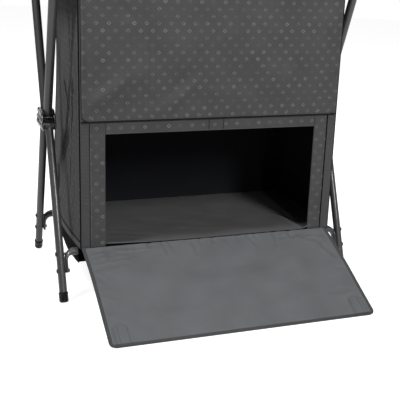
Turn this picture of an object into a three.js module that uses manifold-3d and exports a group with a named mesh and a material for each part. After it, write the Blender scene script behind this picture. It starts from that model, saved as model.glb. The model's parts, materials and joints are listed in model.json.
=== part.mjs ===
// A folding camping cupboard: a two-storey fabric box that hangs in a fold-flat frame of round steel tube.
// Millimetres, +Z up, X along the front, the doors at -Y. The lower door lies open on the ground, the upper one is
// shut. The origin is on the ground, under the middle of the whole footprint.
import * as THREE from "three";
import { mergeVertices } from "three/addons/utils/BufferGeometryUtils.js";
import Module from "manifold-3d";

const wasm = await Module();
wasm.setup();

// Clearances
const gap = 0.3; // between pieces that touch
const overrun = 5; // how far a cutter runs past what it cuts
const turningGap = 0.6; // round a stud or a shank, over its facets
const mergeReach = 1e-4; // between vertices that are one point

// Fabric box: outer faces
const boxWidth = 600;
const boxDepth = 332;
const storeyHeight = 280.5;
const clothThickness = 2;
const baseThickness = 2.7; // floor, shelf and top, two layers of fabric
const basePlay = 1.4; // between a floor's edge and the folds of the side walls
const floorSag = 3.5;
const shelfSag = 5;
const topSag = 2;
const waistPinch = 14; // how far the back corners are drawn in at mid height
const sideBulge = 8; // how far the side walls belly out near the bottom
const pleatDepth = 5;

// Doorways and the strips round them
const hemWidth = 54;
const sillHeight = 9;
const headHeight = 29;
const tapeWidth = 19;
const tapeThickness = 1.4;
const tapeInset = 1;

// Doors
const doorInset = 4; // from the box's sides to the door's
const doorThickness = 2;
const bindingThickness = 3.2;
const bindingWidth = 9;
const hingeSeam = 5; // binding width along the sewn edge
const doorCorner = 14;
const doorSag = 4;
const hingeLead = 1; // how far the fold line lies in front of the door's outer face
const hingeRise = 2.5; // how far the fold line lies above the storey's bottom edge
const doorGround = 0.5; // from the ground to the open door's edge

// Frame
const legStandOff = 42; // from the box's side to the leg's axis
const barInset = 24.6; // from the box's front or back to a lower crossbar's axis
const lowerTube = 17.5;
const upperTube = 19;
const tubeWall = 1.2;
const lowerPivot = { y: 33.5, z: 366 };
const upperPivot = { y: 18.5, z: 390 };
const crossbarHeight = 104.3;
const crossbarBend = 24; // bend radius of its axis
const crossbarEnd = 46; // from its axis down to its cut ends, along the leg
const upperBend = 42;
const tubeStart = 10; // from a pivot's axis to the end of its tube

// Rivets, as distances along the leg from the crossbar's axis
const rivetDrops = { upper: 4, lower: 41 };
const rivetShank = 5.4;
const rivetHead = 10.4;
const rivetDome = 2.6;
const rivetCollar = 8.6;
const rivetTail = 3;

// Feet
const footWall = 1.9;
const footHeight = 23;
const footSole = 3;
const footFlat = 1.5; // how far the sole's low edge is trimmed flat for the ground
const footRound = 2.4;

// Hubs
const hubPlateThickness = 3.2;
const hubRim = 14; // from a pivot's axis to the hub's edge
const hubRibHeight = 2;
const hubRibPitch = 7.6;
const hubRibShare = 0.5;
const studRadius = 4;
const knuckleRadius = 11;
const plugDepth = 22;
const sidePlay = 0.9; // between a knuckle and each hub plate

// Webbing and sleeves
const webbing = 1.6;
const loopWidth = 24;
const loopInset = 8; // from the side wall to the loop
const loopTail = 14;
const skirtHeight = 42;
const skirtPlay = 2.6; // between a crossbar and the skirt's end
const sleeveThickness = 1.2;
const sleeveInset = 30; // from the upper tube's bend to the sleeve's end

// Tabletop
const boardThickness = 12;
const boardOverhang = 4; // past the frame's sides and the doors
const boardCorner = 30;
const edgeWidth = 3;
const edgeDrop = 6;

// Facets
const tubeSides = 12;
const bendSteps = 5;
const cornerSteps = 4;
const rivetSides = 8;
const footSides = 16;

// Derived places
const halfWidth = boxWidth / 2;
const halfDepth = boxDepth / 2;
const boxBottom = crossbarHeight + lowerTube / 2 + gap + webbing + gap; // on the loops round the crossbars
const boxHeight = baseThickness + 2 * storeyHeight;
const boxTop = boxBottom + boxHeight;
const floorTop = boxBottom + baseThickness;
const legPlane = halfWidth + legStandOff; // from the middle of the cupboard to the leg's axis, along X
const barPlane = halfDepth - barInset; // from the middle to a lower crossbar's axis, along Y
const spreadAngle = Math.atan2(
  barPlane - lowerPivot.y,
  lowerPivot.z - crossbarHeight,
); // of every tube from vertical
const along = (rise) => rise / Math.cos(spreadAngle); // length on a slanted tube for a height
const crossbarReach = along(lowerPivot.z - crossbarHeight);
const sleeveRadius = upperTube / 2 + gap + sleeveThickness;
const upperReach = along(boxTop + gap + sleeveRadius - upperPivot.z);
const footRadius = lowerTube / 2 + footWall;
const soleReach =
  (lowerPivot.z - footRadius * Math.sin(spreadAngle) + footFlat) /
  Math.cos(spreadAngle);
const rivetOffset = lowerTube + gap; // between a leg's axis and the crossbar end's axis
const skirtEnd = barInset + lowerTube / 2 + skirtPlay; // from the box's front or back to the skirt's end
const doorWidth = boxWidth - 2 * doorInset;
const doorLength = storeyHeight - hingeRise - gap;
const doorProud = (bindingThickness - doorThickness) / 2; // how far a door's binding stands out from its panel
const foldLift = hingeLead - doorProud; // from the fold line to the face of the binding
const hingePlane =
  halfDepth + gap + tapeThickness + gap + bindingThickness + foldLift; // from the middle to the fold lines
const openDoorAngle =
  Math.PI / 2 +
  Math.asin(
    (boxBottom + hingeRise - doorGround) / Math.hypot(doorLength, foldLift),
  ) +
  Math.atan2(foldLift, doorLength); // where the lower door's edge comes to the ground

// Finishes
const finish = (colour, roughness, metalness = 0) =>
  new THREE.MeshStandardMaterial({ color: colour, roughness, metalness });
const finishes = {
  tube: finish(0x4a4a4b, 0.42, 0.35),
  plastic: finish(0x141414, 0.5),
  rubber: finish(0x101010, 0.7),
  rivet: finish(0x1c1c1c, 0.4, 0.3),
  fabric: finish(0x4b4b4c, 0.85),
  lining: finish(0x66686a, 0.8),
  webbing: finish(0x161616, 0.9),
  tape: finish(0x3f4543, 0.95),
  board: finish(0x5b5c5e, 0.55),
};

const { sin, cos, PI, abs, sqrt } = Math;
const sides = { left: -1, right: 1 };

/** The solid of a closed geometry, moved by its matrix if one is given. */
function solidOf(geometry, matrix) {
  const bare = geometry.clone();
  bare.deleteAttribute("normal");
  bare.deleteAttribute("uv");
  if (matrix) bare.applyMatrix4(matrix);
  const merged = mergeVertices(bare, mergeReach);
  return new wasm.Manifold(
    new wasm.Mesh({
      numProp: 3,
      vertProperties: merged.attributes.position.array,
      triVerts: new Uint32Array(merged.index.array),
    }),
  );
}

/** A geometry for the mesh of a solid. */
function geometryOf(solid) {
  const mesh = solid.getMesh();
  const geometry = new THREE.BufferGeometry();
  geometry.setAttribute(
    "position",
    new THREE.BufferAttribute(new Float32Array(mesh.vertProperties), 3),
  );
  geometry.setIndex(new THREE.BufferAttribute(new Uint32Array(mesh.triVerts), 1));
  geometry.computeVertexNormals();
  return geometry;
}

/** A named mesh. */
function piece(name, geometry, material) {
  const mesh = new THREE.Mesh(geometry, material);
  mesh.name = name;
  return mesh;
}

const shiftBy = (x, y, z) => new THREE.Matrix4().makeTranslation(x, y, z);

/** A cylinder along X from one x to another, through a point of the YZ plane. */
function barAlongX(radius, fromX, toX, y, z, facets) {
  const bar = new THREE.CylinderGeometry(radius, radius, toX - fromX, facets);
  bar.rotateZ(PI / 2);
  return bar.translate((fromX + toX) / 2, y, z);
}

/** A bar bent in one plane: straight runs that round bends join, sampled where its direction changes. */
class BentBar extends THREE.Curve {
  constructor(corners, radius, steps) {
    super();
    this.stops = [];
    this.headings = [];
    const heading = (from, to) => to.clone().sub(from).normalize();
    this.add(corners[0], heading(corners[0], corners[1]));
    for (let i = 1; i < corners.length - 1; i++) {
      const before = heading(corners[i - 1], corners[i]);
      const after = heading(corners[i], corners[i + 1]);
      const turn = before.angleTo(after);
      const reach = radius * Math.tan(turn / 2);
      const inward = after.clone().sub(before).normalize();
      const centre = corners[i]
        .clone()
        .addScaledVector(inward, radius / cos(turn / 2));
      for (let k = 0; k <= steps; k++) {
        const angle = (turn * k) / steps;
        const way = before
          .clone()
          .multiplyScalar(sin(turn - angle))
          .addScaledVector(after, sin(angle))
          .divideScalar(sin(turn));
        const start = corners[i].clone().addScaledVector(before, -reach);
        const spoke = start.sub(centre);
        const lifted = spoke
          .multiplyScalar(cos(angle))
          .addScaledVector(before, radius * sin(angle));
        this.add(centre.clone().add(lifted), way);
      }
    }
    const last = corners[corners.length - 1];
    this.add(last, heading(corners[corners.length - 2], last));
    this.steps = this.stops.length - 1;
  }
  add(stop, way) {
    this.stops.push(stop);
    this.headings.push(way);
  }
  getPointAt(share) {
    return this.stops[Math.round(share * this.steps)].clone();
  }
  getTangentAt(share) {
    return this.headings[Math.round(share * this.steps)].clone();
  }
}

/** A hollow round tube along a bent bar. */
function tubeAlong(bar, diameter) {
  const section = new THREE.Shape().absarc(0, 0, diameter / 2, 0, 2 * PI);
  section.holes.push(
    new THREE.Path().absarc(0, 0, diameter / 2 - tubeWall, 0, 2 * PI, true),
  );
  return new THREE.ExtrudeGeometry(section, {
    extrudePath: bar,
    steps: bar.steps,
    curveSegments: tubeSides / 2, // a round arc takes two points a segment
  });
}

/** A closed slab between two sheets, each given as a point for two shares from 0 to 1. */
function slab(columns, rows, front, back) {
  const points = [];
  const faces = [];
  const wide = columns + 1;
  const layer = wide * (rows + 1);
  for (const sheet of [front, back])
    for (let j = 0; j <= rows; j++)
      for (let i = 0; i <= columns; i++)
        points.push(...sheet(i / columns, j / rows).toArray());
  const quad = (a, b, c, d) => faces.push(a, b, c, a, c, d);
  for (let j = 0; j < rows; j++)
    for (let i = 0; i < columns; i++) {
      const a = j * wide + i;
      quad(a, a + 1, a + 1 + wide, a + wide);
      quad(a + layer, a + layer + wide, a + layer + 1 + wide, a + layer + 1);
    }
  const rim = [];
  for (let i = 0; i < columns; i++) rim.push(i);
  for (let j = 0; j < rows; j++) rim.push(j * wide + columns);
  for (let i = columns; i > 0; i--) rim.push(rows * wide + i);
  for (let j = rows; j > 0; j--) rim.push(j * wide);
  rim.forEach((a, k) => {
    const b = rim[(k + 1) % rim.length];
    quad(b, a, a + layer, b + layer);
  });
  const geometry = new THREE.BufferGeometry();
  geometry.setAttribute("position", new THREE.Float32BufferAttribute(points, 3));
  geometry.setIndex(faces);
  if (solidOf(geometry).volume() < 0) {
    for (let k = 0; k < faces.length; k += 3)
      [faces[k + 1], faces[k + 2]] = [faces[k + 2], faces[k + 1]];
    geometry.setIndex(faces);
  }
  geometry.computeVertexNormals();
  return geometry;
}

/** A rectangle with round corners, as an outline between two corners of the plane. */
function roundedRectangle(outline, left, bottom, right, top, radius) {
  outline.moveTo(left + radius, bottom);
  outline.absarc(right - radius, bottom + radius, radius, -PI / 2, 0);
  outline.absarc(right - radius, top - radius, radius, 0, PI / 2);
  outline.absarc(left + radius, top - radius, radius, PI / 2, PI);
  outline.absarc(left + radius, bottom + radius, radius, PI, 1.5 * PI);
  return outline;
}

/** A sharp rectangle as a hole's outline. */
function rectangle(left, bottom, right, top) {
  return new THREE.Path([
    new THREE.Vector2(left, bottom),
    new THREE.Vector2(left, top),
    new THREE.Vector2(right, top),
    new THREE.Vector2(right, bottom),
  ]);
}

/** How far a side wall stands out from the middle at a share of the depth, from the front, and of the height. */
function sideReach(deep, high) {
  const pleatShares = [
    { at: 0.1, lean: 0.06, wide: 0.035, deep: 0.7 },
    { at: 0.21, lean: -0.05, wide: 0.05, deep: 1 },
    { at: 0.36, lean: 0.08, wide: 0.06, deep: 0.6 },
  ];
  const pinch = waistPinch * sin(PI * high) * deep ** 1.5;
  const belly = sideBulge * sin(PI * deep) * (1 - high) ** 2;
  const edge = sqrt(abs(sin(PI * deep)));
  let pleats = 0;
  for (const pleat of pleatShares) {
    const centre = pleat.at + pleat.lean * (high - 0.5);
    const share = Math.exp(-(((deep - centre) / pleat.wide) ** 2));
    pleats += pleatDepth * pleat.deep * share * sin(PI * high) ** 0.5;
  }
  return halfWidth - pinch + belly + pleats * edge;
}

/** A level sheet of the box, such as its floor: from wall to wall, with a sag in the middle. */
function levelSheet(top, sag, columns, rows) {
  const frontY = -halfDepth + clothThickness + gap;
  const inside = (z) => (across, deep) => {
    const y = frontY * (1 - 2 * deep);
    const high = THREE.MathUtils.clamp((z - boxBottom) / boxHeight, 0, 1);
    const wall = sideReach((y + halfDepth) / boxDepth, high);
    const reach = wall - clothThickness - basePlay;
    const drop = sag * sin(PI * across) * sin(PI * deep);
    return new THREE.Vector3(reach * (2 * across - 1), y, z - drop);
  };
  return slab(columns, rows, inside(top - baseThickness), inside(top));
}

/** The parts of the fabric box that crumple when the frame folds. */
function makeCarcass() {
  const group = new THREE.Group();
  const depthInside = boxDepth - 2 * (clothThickness + gap);
  for (const [side, sign] of Object.entries(sides)) {
    const wall = (inset) => (deep, high) => {
      const y = depthInside * (deep - 0.5);
      const share = (y + halfDepth) / boxDepth;
      const reach = sideReach(share, high) - inset;
      return new THREE.Vector3(sign * reach, y, boxBottom + boxHeight * high);
    };
    const wallColumns = 22;
    const wallRows = 10;
    group.add(
      piece(
        `fabric_side_${side}`,
        slab(wallColumns, wallRows, wall(0), wall(clothThickness)),
        finishes.fabric,
      ),
    );
    const skirtLength = boxDepth - 2 * skirtEnd;
    const skirtTop = boxBottom - gap;
    const hang = (inset) => (deep, high) => {
      const y = skirtLength * (deep - 0.5);
      const share = (y + halfDepth) / boxDepth;
      const reach = sideReach(share, 0) - inset;
      return new THREE.Vector3(
        sign * reach,
        y,
        skirtTop - skirtHeight * (1 - high),
      );
    };
    const skirtColumns = 10;
    group.add(
      piece(
        `side_skirt_${side}`,
        slab(skirtColumns, 1, hang(0), hang(webbing)),
        finishes.webbing,
      ),
    );
  }
  const floorColumns = 12;
  const floorRows = 8;
  group.add(
    piece(
      "fabric_floor",
      levelSheet(floorTop, floorSag, floorColumns, floorRows),
      finishes.lining,
    ),
    piece(
      "fabric_shelf",
      levelSheet(floorTop + storeyHeight, shelfSag, floorColumns, floorRows),
      finishes.lining,
    ),
    piece(
      "fabric_top",
      levelSheet(boxTop, topSag, floorColumns, floorRows),
      finishes.fabric,
    ),
  );
  return group;
}

/** The flat front of the box: two doorways in one panel, the tape that holds the doors, and the seams they turn on. */
function makeFrontWall() {
  const group = new THREE.Group();
  const outline = new THREE.Shape([
    new THREE.Vector2(-halfWidth, boxBottom),
    new THREE.Vector2(halfWidth, boxBottom),
    new THREE.Vector2(halfWidth, boxTop),
    new THREE.Vector2(-halfWidth, boxTop),
  ]);
  const mouth = halfWidth - hemWidth;
  const storeys = { lower: 0, upper: 1 };
  for (const storey of Object.values(storeys)) {
    const base = floorTop + storey * storeyHeight;
    outline.holes.push(
      rectangle(-mouth, base + sillHeight, mouth, base + storeyHeight - headHeight),
    );
  }
  const panel = new THREE.ExtrudeGeometry(outline, {
    depth: clothThickness,
    bevelEnabled: false,
  });
  panel.rotateX(PI / 2);
  panel.translate(0, -halfDepth + clothThickness, 0);
  group.add(piece("fabric_front", panel, finishes.fabric));
  for (const [storeyName, storey] of Object.entries(storeys))
    for (const [side, sign] of Object.entries(sides)) {
      const length = storeyHeight - hingeRise - 2 * gap;
      const tape = new THREE.BoxGeometry(tapeWidth, tapeThickness, length);
      tape.translate(
        sign * (halfWidth - tapeInset - tapeWidth / 2),
        -halfDepth - gap - tapeThickness / 2,
        boxBottom + storey * storeyHeight + hingeRise + gap + length / 2,
      );
      group.add(piece(`loop_tape_${storeyName}_${side}`, tape, finishes.tape));
    }
  for (const [storeyName, storey] of Object.entries(storeys)) {
    const reach = hingePlane - halfDepth - gap;
    const strip = new THREE.BoxGeometry(doorWidth, reach, hingeRise);
    strip.translate(
      0,
      -hingePlane + reach / 2,
      boxBottom + storey * storeyHeight + hingeRise / 2,
    );
    group.add(piece(`${storeyName}_door_seam`, strip, finishes.webbing));
  }
  return group;
}

/** The back of the box, drawn in at its waist where the side walls pull on it. */
function makeBackWall() {
  const rows = 12;
  const edge = [];
  for (let k = 0; k <= rows; k++) {
    const high = k / rows;
    edge.push(
      new THREE.Vector2(sideReach(1, high), boxBottom + boxHeight * high),
    );
  }
  const mirrored = edge.map((p) => new THREE.Vector2(-p.x, p.y)).reverse();
  const panel = new THREE.ExtrudeGeometry(
    new THREE.Shape([...edge, ...mirrored]),
    { depth: clothThickness, bevelEnabled: false },
  );
  panel.rotateX(PI / 2);
  panel.translate(0, halfDepth, 0);
  return piece("fabric_back", panel, finishes.fabric);
}

/** A door on its fold line, its seam's front corner: the panel and its binding, drawn shut and then turned open. */
function makeDoor(storeyName, storey, opening) {
  const group = new THREE.Group();
  const outerFace = -hingeLead;
  const panelSide = doorWidth / 2 - bindingWidth - gap;
  const panelLow = gap + hingeSeam + gap;
  const panelHigh = doorLength - bindingWidth - gap;
  const sheet = (face) => (across, up) =>
    new THREE.Vector3(
      panelSide * (2 * across - 1),
      panelLow + (panelHigh - panelLow) * up,
      face + doorSag * sin(PI * across) * sin(PI * up),
    );
  const doorColumns = 12;
  const doorRows = 6;
  group.add(
    piece(
      `${storeyName}_door_panel`,
      slab(doorColumns, doorRows, sheet(outerFace - doorThickness), sheet(outerFace)),
      finishes.lining,
    ),
  );
  const half = doorWidth / 2;
  const ring = roundedRectangle(
    new THREE.Shape(),
    -half,
    gap,
    half,
    doorLength,
    doorCorner,
  );
  ring.holes.push(
    rectangle(
      -half + bindingWidth,
      gap + hingeSeam,
      half - bindingWidth,
      doorLength - bindingWidth,
    ),
  );
  const binding = new THREE.ExtrudeGeometry(ring, {
    depth: bindingThickness,
    bevelEnabled: false,
    curveSegments: cornerSteps,
  });
  binding.translate(0, 0, outerFace - doorThickness - doorProud);
  group.add(piece(`${storeyName}_door_binding`, binding, finishes.webbing));
  group.position.set(0, -hingePlane, boxBottom + storey * storeyHeight + hingeRise);
  group.rotation.x = PI / 2 + opening;
  return group;
}

/** The plastic knuckle in a tube's end: a barrel on the hub's stud and a plug down the tube. */
function knuckle(name, tube, direction) {
  const width = lowerTube + 2 * (tubeWall + gap);
  const barrel = solidOf(
    barAlongX(knuckleRadius, -width / 2, width / 2, 0, 0, tubeSides),
  );
  const plugRadius = tube / 2 - tubeWall - gap;
  const plug = new THREE.CylinderGeometry(
    plugRadius,
    plugRadius,
    plugDepth,
    tubeSides,
  );
  plug.rotateX(PI / 2);
  plug.translate(0, 0, (direction * (plugDepth + studRadius + turningGap)) / 2);
  const bore = solidOf(
    barAlongX(
      studRadius + turningGap,
      -width / 2 - overrun,
      width / 2 + overrun,
      0,
      0,
      tubeSides,
    ),
  );
  const start = tubeStart * direction;
  const socket = solidOf(
    new THREE.CylinderGeometry(
      tube / 2 + gap,
      tube / 2 + gap,
      knuckleRadius,
      2 * tubeSides,
    ).rotateX(PI / 2),
    shiftBy(0, 0, start + (direction * (knuckleRadius - 2 * gap)) / 2),
  );
  const body = barrel.subtract(socket).add(solidOf(plug)).subtract(bore);
  return piece(name, geometryOf(body), finishes.plastic);
}

/** How far the elbow has curved away from the leg at a drop below the crossbar's axis. */
function elbowGap(drop) {
  const outer = crossbarBend + lowerTube / 2;
  const up = crossbarBend - drop;
  return outer - sqrt(outer ** 2 - up ** 2);
}

/** A rivet along X: a domed head, its shank through the leg, and a collar and blind end or a tail past it. */
function rivet(name, sign, drop, intoElbow) {
  const legFace = lowerTube / 2;
  const shank = rivetShank / 2;
  const head = rivetHead / 2;
  const collar = rivetCollar / 2;
  const farWall = rivetOffset + legFace;
  const nearWall = rivetOffset - legFace;
  const shoulderShare = 0.6; // of the head's radius, where its dome turns flat
  const brimShare = 0.8;
  const profile = [
    [0, -legFace - gap - rivetDome],
    [head * shoulderShare, -legFace - gap - rivetDome * brimShare],
    [head, -legFace - gap],
    [shank, -legFace - gap],
  ];
  if (intoElbow) {
    const collarEnd = nearWall + elbowGap(drop + collar) - gap;
    const blindEnd = nearWall + elbowGap(drop) + tubeWall + rivetTail;
    profile.push([shank, nearWall], [collar, nearWall]);
    profile.push([collar, collarEnd], [shank, collarEnd]);
    profile.push([shank, blindEnd], [0, blindEnd]);
  } else {
    profile.push([shank, farWall + gap], [head * brimShare, farWall + gap]);
    profile.push([head * shoulderShare, farWall + rivetTail]);
    profile.push([0, farWall + rivetTail]);
  }
  const lathe = new THREE.LatheGeometry(
    profile.map(([r, x]) => new THREE.Vector2(r, x)),
    rivetSides,
  );
  lathe.rotateZ(-PI / 2);
  if (sign > 0) lathe.rotateZ(PI);
  lathe.translate(sign * legPlane, 0, -crossbarReach - drop);
  return piece(name, lathe, finishes.rivet);
}

/** One lower frame: two legs on their knuckles, feet, and the crossbar riveted inside the legs. */
function makeLowerFrame(name, turn) {
  const group = new THREE.Group();
  const holeRadius = rivetShank / 2 + gap;
  const holes = (sign, fromX, toX, drops) =>
    drops.map((drop) =>
      solidOf(
        barAlongX(
          holeRadius,
          Math.min(sign * fromX, sign * toX),
          Math.max(sign * fromX, sign * toX),
          0,
          -crossbarReach - drop,
          rivetSides,
        ),
      ),
    );
  const endX = legPlane - rivetOffset;
  const endZ = -crossbarReach - crossbarEnd;
  const bar = new BentBar(
    [
      new THREE.Vector3(-endX, 0, endZ),
      new THREE.Vector3(-endX, 0, -crossbarReach),
      new THREE.Vector3(endX, 0, -crossbarReach),
      new THREE.Vector3(endX, 0, endZ),
    ],
    crossbarBend,
    bendSteps,
  );
  let crossbar = solidOf(tubeAlong(bar, lowerTube));
  for (const [side, sign] of Object.entries(sides)) {
    const legX = sign * legPlane;
    const tubeEnd = soleReach - footSole - gap;
    const straight = new BentBar(
      [
        new THREE.Vector3(legX, 0, -tubeStart),
        new THREE.Vector3(legX, 0, -tubeEnd),
      ],
      0,
      0,
    );
    let leg = solidOf(tubeAlong(straight, lowerTube));
    for (const hole of holes(
      sign,
      legPlane - lowerTube,
      legPlane + lowerTube,
      Object.values(rivetDrops),
    ))
      leg = leg.subtract(hole);
    group.add(piece(`${name}_leg_${side}`, geometryOf(leg), finishes.tube));

    const elbowOuterWall = endX + lowerTube / 2 - elbowGap(rivetDrops.upper);
    const upperHole = holes(sign, elbowOuterWall - lowerTube / 2, legPlane, [
      rivetDrops.upper,
    ]);
    const lowerHole = holes(sign, endX - lowerTube, legPlane, [
      rivetDrops.lower,
    ]);
    for (const hole of [...upperHole, ...lowerHole])
      crossbar = crossbar.subtract(hole);

    const knuckleMesh = knuckle(`${name}_knuckle_${side}`, lowerTube, -1);
    knuckleMesh.position.x = legX;
    group.add(knuckleMesh);
    for (const [level, drop] of Object.entries(rivetDrops))
      group.add(
        rivet(`${name}_rivet_${level}_${side}`, sign, drop, level === "upper"),
      );
    group.add(foot(`${name}_foot_${side}`, legX, turn));
    group.add(barLoop(`${name}_loop_${side}`, sign));
  }
  group.add(piece(`${name}_crossbar`, geometryOf(crossbar), finishes.tube));
  group.position.set(0, turn * lowerPivot.y, lowerPivot.z);
  group.rotation.x = turn * spreadAngle;
  return group;
}

/** A foot: a cup over the leg's end, its low edge trimmed flat for the ground. */
function foot(name, legX, turn) {
  const inner = lowerTube / 2 + gap;
  const profile = [
    [0, -soleReach],
    [footRadius - footRound, -soleReach],
    [footRadius, -soleReach + footRound],
    [footRadius, -soleReach + footHeight],
    [inner, -soleReach + footHeight],
    [inner, -soleReach + footSole],
    [0, -soleReach + footSole],
  ].map(([r, z]) => new THREE.Vector2(r, z));
  const cup = new THREE.LatheGeometry(profile, footSides);
  cup.rotateX(PI / 2);
  const groundSize = 2 * soleReach;
  const ground = new THREE.BoxGeometry(groundSize, groundSize, groundSize);
  const place = new THREE.Matrix4().makeRotationX(-turn * spreadAngle);
  const underGround = shiftBy(
    0,
    -turn * lowerPivot.y,
    -lowerPivot.z - groundSize / 2,
  );
  const trimmed = solidOf(cup).subtract(
    solidOf(ground, place.multiply(underGround)),
  );
  return piece(
    name,
    geometryOf(trimmed).translate(legX, 0, 0),
    finishes.rubber,
  );
}

/** A webbing loop round the crossbar, near its end: it hangs the fabric box's floor on the bar. */
function barLoop(name, sign) {
  const inner = lowerTube / 2 + gap;
  const outer = inner + webbing;
  const loop = new THREE.Shape();
  loop.absarc(0, 0, outer, -PI / 3, (4 * PI) / 3);
  loop.lineTo(-webbing, -outer - loopTail);
  loop.lineTo(webbing, -outer - loopTail);
  loop.holes.push(new THREE.Path().absarc(0, 0, inner, 0, 2 * PI, true));
  const band = new THREE.ExtrudeGeometry(loop, {
    depth: loopWidth,
    bevelEnabled: false,
    curveSegments: tubeSides / 2, // a round arc takes two points a segment
  });
  band.rotateY(PI / 2);
  band.rotateX(PI / 2);
  band.translate(
    sign * (halfWidth - loopInset - loopWidth / 2) - loopWidth / 2,
    0,
    -crossbarReach,
  );
  return piece(name, band, finishes.webbing);
}

/** One upper frame: a single tube bent to a U, on knuckles, with the sleeve that hangs the fabric box on it. */
function makeUpperFrame(name, turn) {
  const group = new THREE.Group();
  const bar = new BentBar(
    [
      new THREE.Vector3(-legPlane, 0, tubeStart),
      new THREE.Vector3(-legPlane, 0, upperReach),
      new THREE.Vector3(legPlane, 0, upperReach),
      new THREE.Vector3(legPlane, 0, tubeStart),
    ],
    upperBend,
    bendSteps,
  );
  group.add(piece(`${name}_tube`, tubeAlong(bar, upperTube), finishes.tube));
  for (const [side, sign] of Object.entries(sides)) {
    const knuckleMesh = knuckle(`${name}_knuckle_${side}`, upperTube, 1);
    knuckleMesh.position.x = sign * legPlane;
    group.add(knuckleMesh);
  }
  const sleeveHalf = legPlane - upperBend - sleeveInset;
  const sleeveBar = new BentBar(
    [
      new THREE.Vector3(-sleeveHalf, 0, upperReach),
      new THREE.Vector3(sleeveHalf, 0, upperReach),
    ],
    0,
    0,
  );
  const ring = new THREE.Shape().absarc(0, 0, sleeveRadius, 0, 2 * PI);
  ring.holes.push(
    new THREE.Path().absarc(0, 0, upperTube / 2 + gap, 0, 2 * PI, true),
  );
  const sleeve = new THREE.ExtrudeGeometry(ring, {
    extrudePath: sleeveBar,
    steps: 1,
    curveSegments: tubeSides / 2, // a round arc takes two points a segment
  });
  group.add(piece(`${name}_sleeve`, sleeve, finishes.fabric));
  group.position.set(0, turn * upperPivot.y, upperPivot.z);
  group.rotation.x = -turn * spreadAngle;
  return group;
}

/** The hub's outline in a plane, with round corners at the rim's distance from its four pivots. */
function hubOutline() {
  const outline = new THREE.Shape();
  const { y: low, z: lowZ } = lowerPivot;
  const { y: high, z: highZ } = upperPivot;
  const slope = Math.atan2(highZ - lowZ, low - high);
  outline.absarc(low, lowZ, hubRim, -PI / 2, PI / 2 - slope);
  outline.absarc(high, highZ, hubRim, PI / 2 - slope, PI / 2);
  outline.absarc(-high, highZ, hubRim, PI / 2, PI / 2 + slope);
  outline.absarc(-low, lowZ, hubRim, PI / 2 + slope, 1.5 * PI);
  return outline;
}

/** One side's hub: an inner plate with four studs, and a ribbed cover outside the tubes. */
function makeHub(side, sign) {
  const group = new THREE.Group();
  const knuckleHalf = lowerTube / 2 + tubeWall + gap;
  const innerFace = knuckleHalf + sidePlay;
  const plateGeometry = new THREE.ExtrudeGeometry(hubOutline(), {
    depth: hubPlateThickness,
    bevelEnabled: false,
    curveSegments: cornerSteps,
  });
  plateGeometry.rotateX(PI / 2);
  plateGeometry.rotateZ(PI / 2);
  const plateFrom = sign < 0 ? innerFace : -innerFace - hubPlateThickness;
  const coverFrom = sign < 0 ? -innerFace - hubPlateThickness : innerFace;
  let plate = solidOf(plateGeometry, shiftBy(plateFrom, 0, 0));
  const studFrom = -sign * (innerFace + hubPlateThickness / 2);
  const studTo = sign * (innerFace - gap);
  for (const pivot of [lowerPivot, upperPivot])
    for (const turn of [-1, 1])
      plate = plate.add(
        solidOf(
          barAlongX(
            studRadius,
            Math.min(studFrom, studTo),
            Math.max(studFrom, studTo),
            turn * pivot.y,
            pivot.z,
            tubeSides,
          ),
        ),
      );
  const plateMesh = piece(
    `hub_plate_${side}`,
    geometryOf(plate),
    finishes.plastic,
  );
  let cover = solidOf(plateGeometry, shiftBy(coverFrom, 0, 0));
  const outline = solidOf(
    plateGeometry,
    new THREE.Matrix4()
      .makeScale((hubPlateThickness + hubRibHeight) / hubPlateThickness, 1, 1)
      .premultiply(
        shiftBy(sign < 0 ? coverFrom - hubRibHeight : coverFrom, 0, 0),
      ),
  );
  const lowest = lowerPivot.z - hubRim;
  const hubTall = upperPivot.z + hubRim - lowest;
  const ribCount = Math.floor(hubTall / hubRibPitch);
  for (let k = 0; k < ribCount; k++) {
    const rib = new THREE.BoxGeometry(
      hubRibHeight + hubPlateThickness,
      4 * (lowerPivot.y + hubRim),
      hubRibPitch * hubRibShare,
    );
    rib.translate(
      coverFrom +
        hubPlateThickness / 2 +
        (sign * hubRibHeight) / 2,
      0,
      lowest + (k + 0.5) * (hubTall / ribCount),
    );
    cover = cover.add(solidOf(rib).intersect(outline));
  }
  const coverMesh = piece(
    `hub_cover_${side}`,
    geometryOf(cover),
    finishes.plastic,
  );
  group.add(plateMesh, coverMesh);
  group.position.x = sign * legPlane;
  return group;
}

/** The loose tabletop: a board on the two sleeves, with an edge that hangs over the frame. */
function makeTabletop() {
  const group = new THREE.Group();
  const underside = upperPivot.z + upperReach * cos(spreadAngle) + sleeveRadius + gap;
  const reachX = legPlane + upperTube / 2 + boardOverhang;
  const reachY = halfDepth + bindingThickness + boardOverhang;
  const board = new THREE.ExtrudeGeometry(
    roundedRectangle(
      new THREE.Shape(),
      -reachX,
      -reachY,
      reachX,
      reachY,
      boardCorner,
    ),
    { depth: boardThickness, bevelEnabled: false, curveSegments: cornerSteps },
  );
  board.translate(0, 0, underside);
  group.add(piece("tabletop_board", board, finishes.board));
  const inX = reachX + gap;
  const inY = reachY + gap;
  const outX = inX + edgeWidth;
  const outY = inY + edgeWidth;
  const rim = roundedRectangle(
    new THREE.Shape(),
    -outX,
    -outY,
    outX,
    outY,
    boardCorner + gap + edgeWidth,
  );
  rim.holes.push(
    roundedRectangle(new THREE.Path(), -inX, -inY, inX, inY, boardCorner + gap),
  );
  const edge = new THREE.ExtrudeGeometry(rim, {
    depth: boardThickness + edgeDrop,
    bevelEnabled: false,
    curveSegments: cornerSteps,
  });
  edge.translate(0, 0, underside - edgeDrop);
  group.add(piece("tabletop_edge", edge, finishes.plastic));
  return group;
}

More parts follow.
